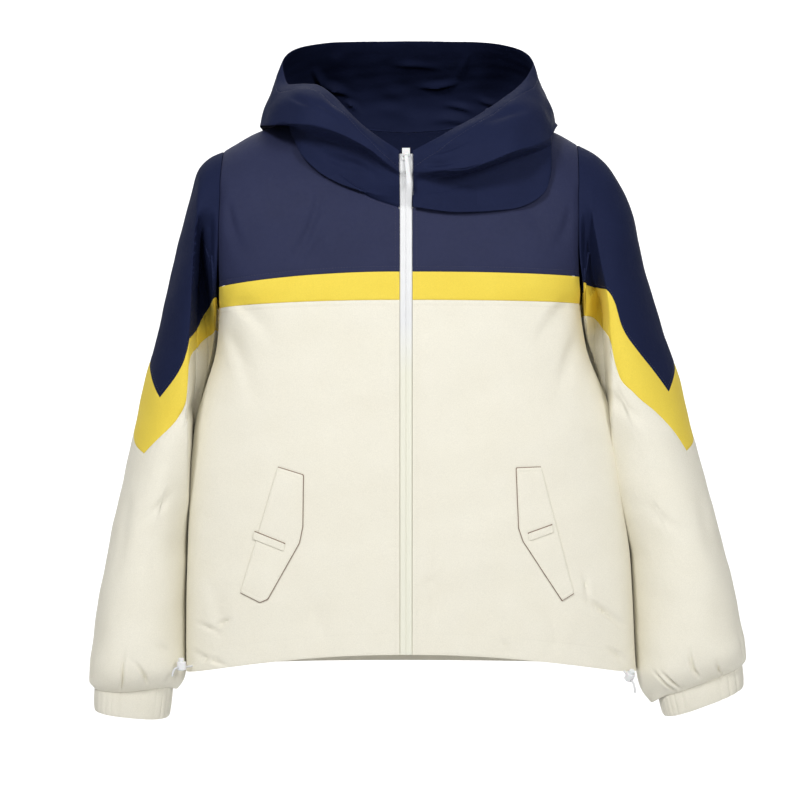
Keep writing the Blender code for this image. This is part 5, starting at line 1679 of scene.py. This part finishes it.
class JACKET_OT_cuffs(bpy.types.Operator):
    """Makes the cuff that closes each sleeve, drawn in on elastic into uneven pleats, in the cream darkened
    as painted shade
    """

    bl_idname = "jacket.cuffs"
    bl_label = "Cuffs"

    def execute(self, context):
        for side in SIDES:
            angles = np.arange(0, 360, 1.25) - 180
            v = np.concatenate([[0, 0, 0.04], np.linspace(0.1, 0.94, 12), [0.98, 1.0]])
            at = np.broadcast_to(v[:, None], (len(v), len(angles)))
            angle = np.broadcast_to(angles[None], at.shape)
            points = ring_points(CUFF[side], angle, at, CUFF_PITCH)
            points[..., 0] *= SIDES[side]
            round_it = np.roll(points, -1, axis=1) - np.roll(points, 1, axis=1)
            down_it = np.broadcast_to(points[-1:] - points[:1], points.shape)
            normal = unit(np.cross(round_it, down_it)) * SIDES[side]
            points = points + normal * self.pleats(side, angle, at)[..., None]
            points[1] += unit(down_it[1]) * SEAM
            points[0] -= unit(down_it[0]) * TUCKED_IN + normal[0] * TUCKED_UNDER
            name = f"cloth_cuff_{side}"
            # the cuff's cream carries painted shade
            obj, _ = cloth(
                name, "cream_taslan_painted_shade", [(points, normal)], (), True, None, ("bottom", "top")
            )
            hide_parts(f"cuff_{side}")
        return {"FINISHED"}

    def pleats(self, side, angle, at):
        """Narrow valleys at uneven distances round the cuff, each of its own depth and length.

        A valley is a bell of the sine of a phase that runs 12 times round, unevenly. The cuff also
        swells between its ends by half a sine wave.
        """
        turn = np.radians(angle)
        phase = 12 * turn + 1.3 * np.sin(2 * turn + SIDES[side]) + 0.8 * np.sin(5 * turn + 0.6)
        size = 0.65 + 0.35 * np.sin(3 * turn + 2.0) * np.cos(2 * turn + SIDES[side])
        reach = 0.75 + 0.25 * np.sin(4 * turn + 0.5) * np.cos(3.0 * at)
        valley = bell(np.sin(phase + 0.4 * at), reach=0.42)
        return -1.5 * size * reach * valley + 0.5 * np.sin(math.pi * at)


class JACKET_OT_hood(bpy.types.Operator):
    """Makes the hood as it lies open behind the neck: two sides and a centre panel"""

    bl_idname = "jacket.hood"
    bl_label = "Hood"

    def execute(self, context):
        front, back = np.linspace(0, HOOD_CENTRE_FROM, 136), np.linspace(HOOD_CENTRE_FROM, 1, 14)
        beside_centre = [0.91, 0.9165]  # for its seams' turned-in edges
        at = np.unique(np.concatenate([[0, 0.003, 0.008], front[1:], back, beside_centre]))
        inside = np.linspace(4.84, 6.9, 84)
        level = np.concatenate([[0, 0.02, 0.06], np.linspace(0.1, 4.8, 106), inside, [6.95, 6.98, 7.0]])
        halves = [hood_half(side, at, level) for side in SIDES]
        whole = np.concatenate([halves[0], halves[1][:, -2::-1]], axis=1)
        round_it = np.concatenate([at, at[-2::-1]])
        normal = grid_normals(whole)
        share, up = np.meshgrid(round_it, level)
        whole = whole + normal * hood_folds(share, up, whole)[..., None]
        cut = int(np.searchsorted(at, HOOD_CENTRE_FROM - 1e-6))
        count = whole.shape[1]
        pieces = (
            ("right", 0, cut, ("hood_right", "hood_back_right")),
            ("centre", cut, count - 1 - cut, ("hood_centre",)),
            ("left", count - 1 - cut, count - 1, ("hood_left", "hood_back_left")),
        )
        runs = []
        for name, first, last, nodes in pieces:
            points, normals = whole[:, first : last + 1], normal[:, first : last + 1]
            seams = [("top", RIM_TURNED_IN)]
            if first > 0:
                seams.append(("inner", STITCH_OFFSET))
            if last < count - 1:
                seams.append(("outer", STITCH_OFFSET))
            piece, carriers = f"cloth_hood_{name}", ["cloth_back_yoke"]
            # the hood's navy carries painted shade
            obj, shown = cloth(piece, "navy_taslan_painted_shade", [(points, normals)], seams)
            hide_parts(*nodes)
            runs += [beside_edge(shown[0], normals, *seam) for seam in seams]
        stitches("stitches_hood", "navy_thread", runs)
        return {"FINISHED"}


class JACKET_OT_pocket_flaps(bpy.types.Operator):
    """Makes a five-sided flap over each slanted pocket, with a tab across it"""

    bl_idname = "jacket.pocket_flaps"
    bl_label = "Pocket Flaps"

    def execute(self, context):
        for side in SIDES:
            front = f"cloth_front_panel_{side}"
            flap, rows = self.patch(f"cloth_flap_{side}", side, FLAP[side], 0.6, 1.5, [front])
            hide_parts(f"pocket_flap_{side}")
            tab, more = self.patch(f"cloth_flap_tab_{side}", side, FLAP_TAB[side], 2.5, 1.1, [flap.name])
            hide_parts(f"flap_tab_{side}")
            stitches(f"stitches_flap_{side}", "cream_thread", rows + more, 0.45)
            # dark cords along the flaps' edges, a painted shadow line
            self.painted_shadow_line(f"cord_flap_{side}", side, FLAP[side], range(7), 0.9)
            self.painted_shadow_line(f"cord_flap_tab_{side}", side, FLAP_TAB[side], (3, 0), 2.9)
        return {"FINISHED"}

    def painted_shadow_line(self, name, side, table, corners, height):
        """A fine dark cord laid in the corner between a flap's edge and the cloth under it: a painted shadow
        line that stands for the shade under the edge.
        """
        knots = np.stack([table["out"], table["height"]], axis=-1)[list(corners)]
        run = arc(knots, 0)
        at = np.linspace(0, run[-1], int(run[-1] / 2))
        out, z = read(at, run, knots).T
        points, normal = torso("front", SIDES[side] * out, z)
        lift = body_folds(side, "front", points[:, 0], points[:, 2]) + height
        tube(name, "painted_shadow_thread", points + normal * lift[:, None], SHADOW_LINE_RADIUS, 8)

    def outline(self, table):
        """The corners joined by straight edges, with each corner rounded by three quadratic points."""
        corners = np.stack([table["out"], table["height"]], axis=-1)
        before, after = np.roll(corners, 1, axis=0), np.roll(corners, -1, axis=0)
        one = corners + unit(before - corners) * CORNER
        two = corners + unit(after - corners) * CORNER
        t = np.linspace(0, 1, 5)[:, None, None]
        rounded = one * (1 - t) ** 2 + corners * 2 * t * (1 - t) + two * t * t
        knots = rounded.transpose(1, 0, 2).reshape(-1, 2)
        knots = np.concatenate([knots, knots[:1]])
        run = arc(knots, 0)
        at = np.linspace(0, run[-1], int(run[-1] / RIM_STEP))[:-1]
        at = np.unique(np.concatenate([at, run[:-1]]))
        if len(at) % 2:
            at = np.append(at, (at[-1] + run[-1]) / 2)
        return read(at, run, knots)

    def patch(self, name, side, table, gap, thickness, rests_on):
        """A fan of rings from the outline to its middle, laid over the front and its folds.

        The face is a flat pillow: it rounds off within 1.5 mm of the edge and dips along a row of
        stitches 3 mm in from it.
        """
        rim = self.outline(table)
        middle = rim.mean(axis=0)
        reach = np.linalg.norm(rim - middle, axis=-1).mean()
        edge_rings = [0, 0.5, 1.1, 2.0, 2.6, FLAP_STITCH, 4.0, 5.5]
        inset = np.concatenate([edge_rings, np.arange(8.5, reach - 3, 3.5)])
        ring = 1 - inset / reach
        out_z = middle + (rim - middle)[None] * ring[:, None, None]
        points, normal = torso("front", SIDES[side] * out_z[..., 0], out_z[..., 1])
        lift = body_folds(side, "front", points[..., 0], points[..., 2]) + gap
        round_off = 0.7 * bell(inset, reach=0.8) + 0.3 * bell(inset - 3.0, reach=0.7)
        outer = points + normal * (lift + thickness - round_off[:, None])[..., None]
        inner = points + normal * lift[..., None]
        rows, cols = outer.shape[:2]
        faces, row, col = grid_faces(rows, cols, True)
        uv = np.stack([out_z[row, col % cols, 0], out_z[row, col % cols, 1]], axis=-1) * MM
        tip_faces, tip_uv = self.tip(rows, cols, out_z)
        skins = []
        for skin, height in ((outer, thickness), (inner, 0.0)):
            centre, centre_normal = torso("front", SIDES[side] * middle[0], middle[1])
            folds = body_folds(side, "front", centre[None, 0], centre[None, 2])[0]
            tip = centre + centre_normal * (folds + gap + height)
            skins.append(np.concatenate([skin.reshape(-1, 3), tip[None]]))
        every, every_uv = np.concatenate([faces, tip_faces]), np.concatenate([uv, tip_uv])
        corners = skins[0][every[0]]
        facing = np.cross(corners[2] - corners[0], corners[3] - corners[1]) @ normal.reshape(-1, 3)[0]
        step = -1 if facing < 0 else 1
        shade = material("cream_taslan")
        obj = walled(name, shade, skins[0], skins[1], every[:, ::step], every_uv[:, ::step])
        worn(obj)
        line_at = edge_rings.index(FLAP_STITCH)
        closed_line = np.concatenate([outer[line_at], outer[line_at][:1]])
        return obj, [(closed_line, np.concatenate([normal[line_at], normal[line_at][:1]]))]

    def tip(self, rows, cols, out_z):
        """Four-cornered faces from two sides of the innermost ring to one point in the middle."""
        first, centre = (rows - 1) * cols, rows * cols
        pairs = np.arange(0, cols, 2)
        corners = (first + pairs, first + pairs + 1, first + (pairs + 2) % cols, np.full_like(pairs, centre))
        faces = np.stack(corners, axis=-1)
        return faces, out_z.reshape(-1, 2)[np.minimum(faces, centre - 1)] * MM


class JACKET_OT_zip(bpy.types.Operator):
    """Makes the two tapes of the zip, raised over the closed coil under their meeting edges"""

    bl_idname = "jacket.zip"
    bl_label = "Zip"

    def execute(self, context):
        path, normal = self.middle_line()
        tapes = []
        for sign in SIDES.values():
            out = np.array([0.05, 0.5, 0.9, 1.4, 2.0, 2.6, 3.2, 4.2, 5.2, 5.9, 6.5, 7.1, 7.6, 8.6])
            over_coil, groove = 0.55 * bell(out - 1.3, reach=1.1), 0.25 * bell(out - 4.6, reach=0.5)
            tucked = (settings().cloth_thickness / MM + 0.9) * ease((out - 6.5) / 1.1)
            rise = over_coil - groove - tucked
            points = np.zeros((len(path), len(out), 3))
            points[..., 0] = sign * out[None]
            points[..., 1:] = path[:, None] + normal[:, None] * rise[None, :, None]
            normals = np.zeros_like(points)
            normals[..., 1:] = normal[:, None]
            tapes.append((points, normals))
        obj, _ = cloth("zip_tapes", "zip_tape_twill", tapes)
        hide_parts(*(f"zip_tape_{side}" for side in SIDES))
        return {"FINISHED"}

    def middle_line(self):
        """(y, z) points up the middle, from the hem over the body to the hood's top, and normals."""
        heights = np.linspace(HEM_FRONT, NECK_FRONT, 170)
        body, _ = torso("front", np.full_like(heights, ZIP_EDGE), heights)
        edge = hood_half("right", np.array([0.0]), np.linspace(0.6, 6.6, 28))[:, 0]
        knots = np.concatenate([body[:, 1:], edge[:, 1:]])
        run = arc(knots, 0)
        path = smooth(np.linspace(0, run[-1], 240), run, knots)
        tangent = np.gradient(path, axis=0)
        return path, unit(np.stack([-tangent[:, 1], tangent[:, 0]], axis=-1))


class JACKET_OT_zip_slider(bpy.types.Operator):
    """Gives the zip's slider and pull their moulded finish"""

    bl_idname = "jacket.zip_slider"
    bl_label = "Zip Slider and Pull"

    def execute(self, context):
        for node in ("zip_slider", "zip_pull"):
            finish_node(node, "acetal")
        return {"FINISHED"}


class JACKET_OT_cord_locks(bpy.types.Operator):
    """Gives the cord locks and their buttons their moulded finish"""

    bl_idname = "jacket.cord_locks"
    bl_label = "Cord Locks"

    def execute(self, context):
        for side in SIDES:
            for node in (f"cord_lock_{side}", f"lock_button_{side}"):
                finish_node(node, "acetal")
        return {"FINISHED"}


def finish_node(node, kind):
    """A solid of the frame keeps its shape and takes a finish."""
    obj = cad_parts[node]
    if not obj.material_slots:
        obj.data.materials.append(None)
    for slot in obj.material_slots:
        slot.material = material(kind)


class VIEW3D_PT_jacket(bpy.types.Panel):
    """Lists the jacket's settings and the steps that make it"""

    bl_label = "Hooded Windbreaker Jacket"
    bl_idname = "VIEW3D_PT_jacket"
    bl_space_type = "VIEW_3D"
    bl_region_type = "UI"
    bl_category = "Jacket"

    def draw(self, context):
        for name in JacketSettings.__annotations__:
            self.layout.prop(context.scene.jacket, name)
        for operator in OPERATORS:
            self.layout.operator(operator.bl_idname)


OPERATORS = (
    JACKET_OT_stage,
    JACKET_OT_hem_cords,
    JACKET_OT_body,
    JACKET_OT_sleeves,
    JACKET_OT_cuffs,
    JACKET_OT_hood,
    JACKET_OT_pocket_flaps,
    JACKET_OT_zip,
    JACKET_OT_zip_slider,
    JACKET_OT_cord_locks,
)
CLASSES = (JacketSettings, *OPERATORS, VIEW3D_PT_jacket)


def register():
    for cls in CLASSES:
        bpy.utils.register_class(cls)
    bpy.types.Scene.jacket = PointerProperty(type=JacketSettings)


def unregister():
    del bpy.types.Scene.jacket
    for cls in reversed(CLASSES):
        bpy.utils.unregister_class(cls)


def main():
    register()
    for operator in OPERATORS:
        group, step = operator.bl_idname.split(".")
        getattr(getattr(bpy.ops, group), step)()


if __name__ == "__main__":
    main()
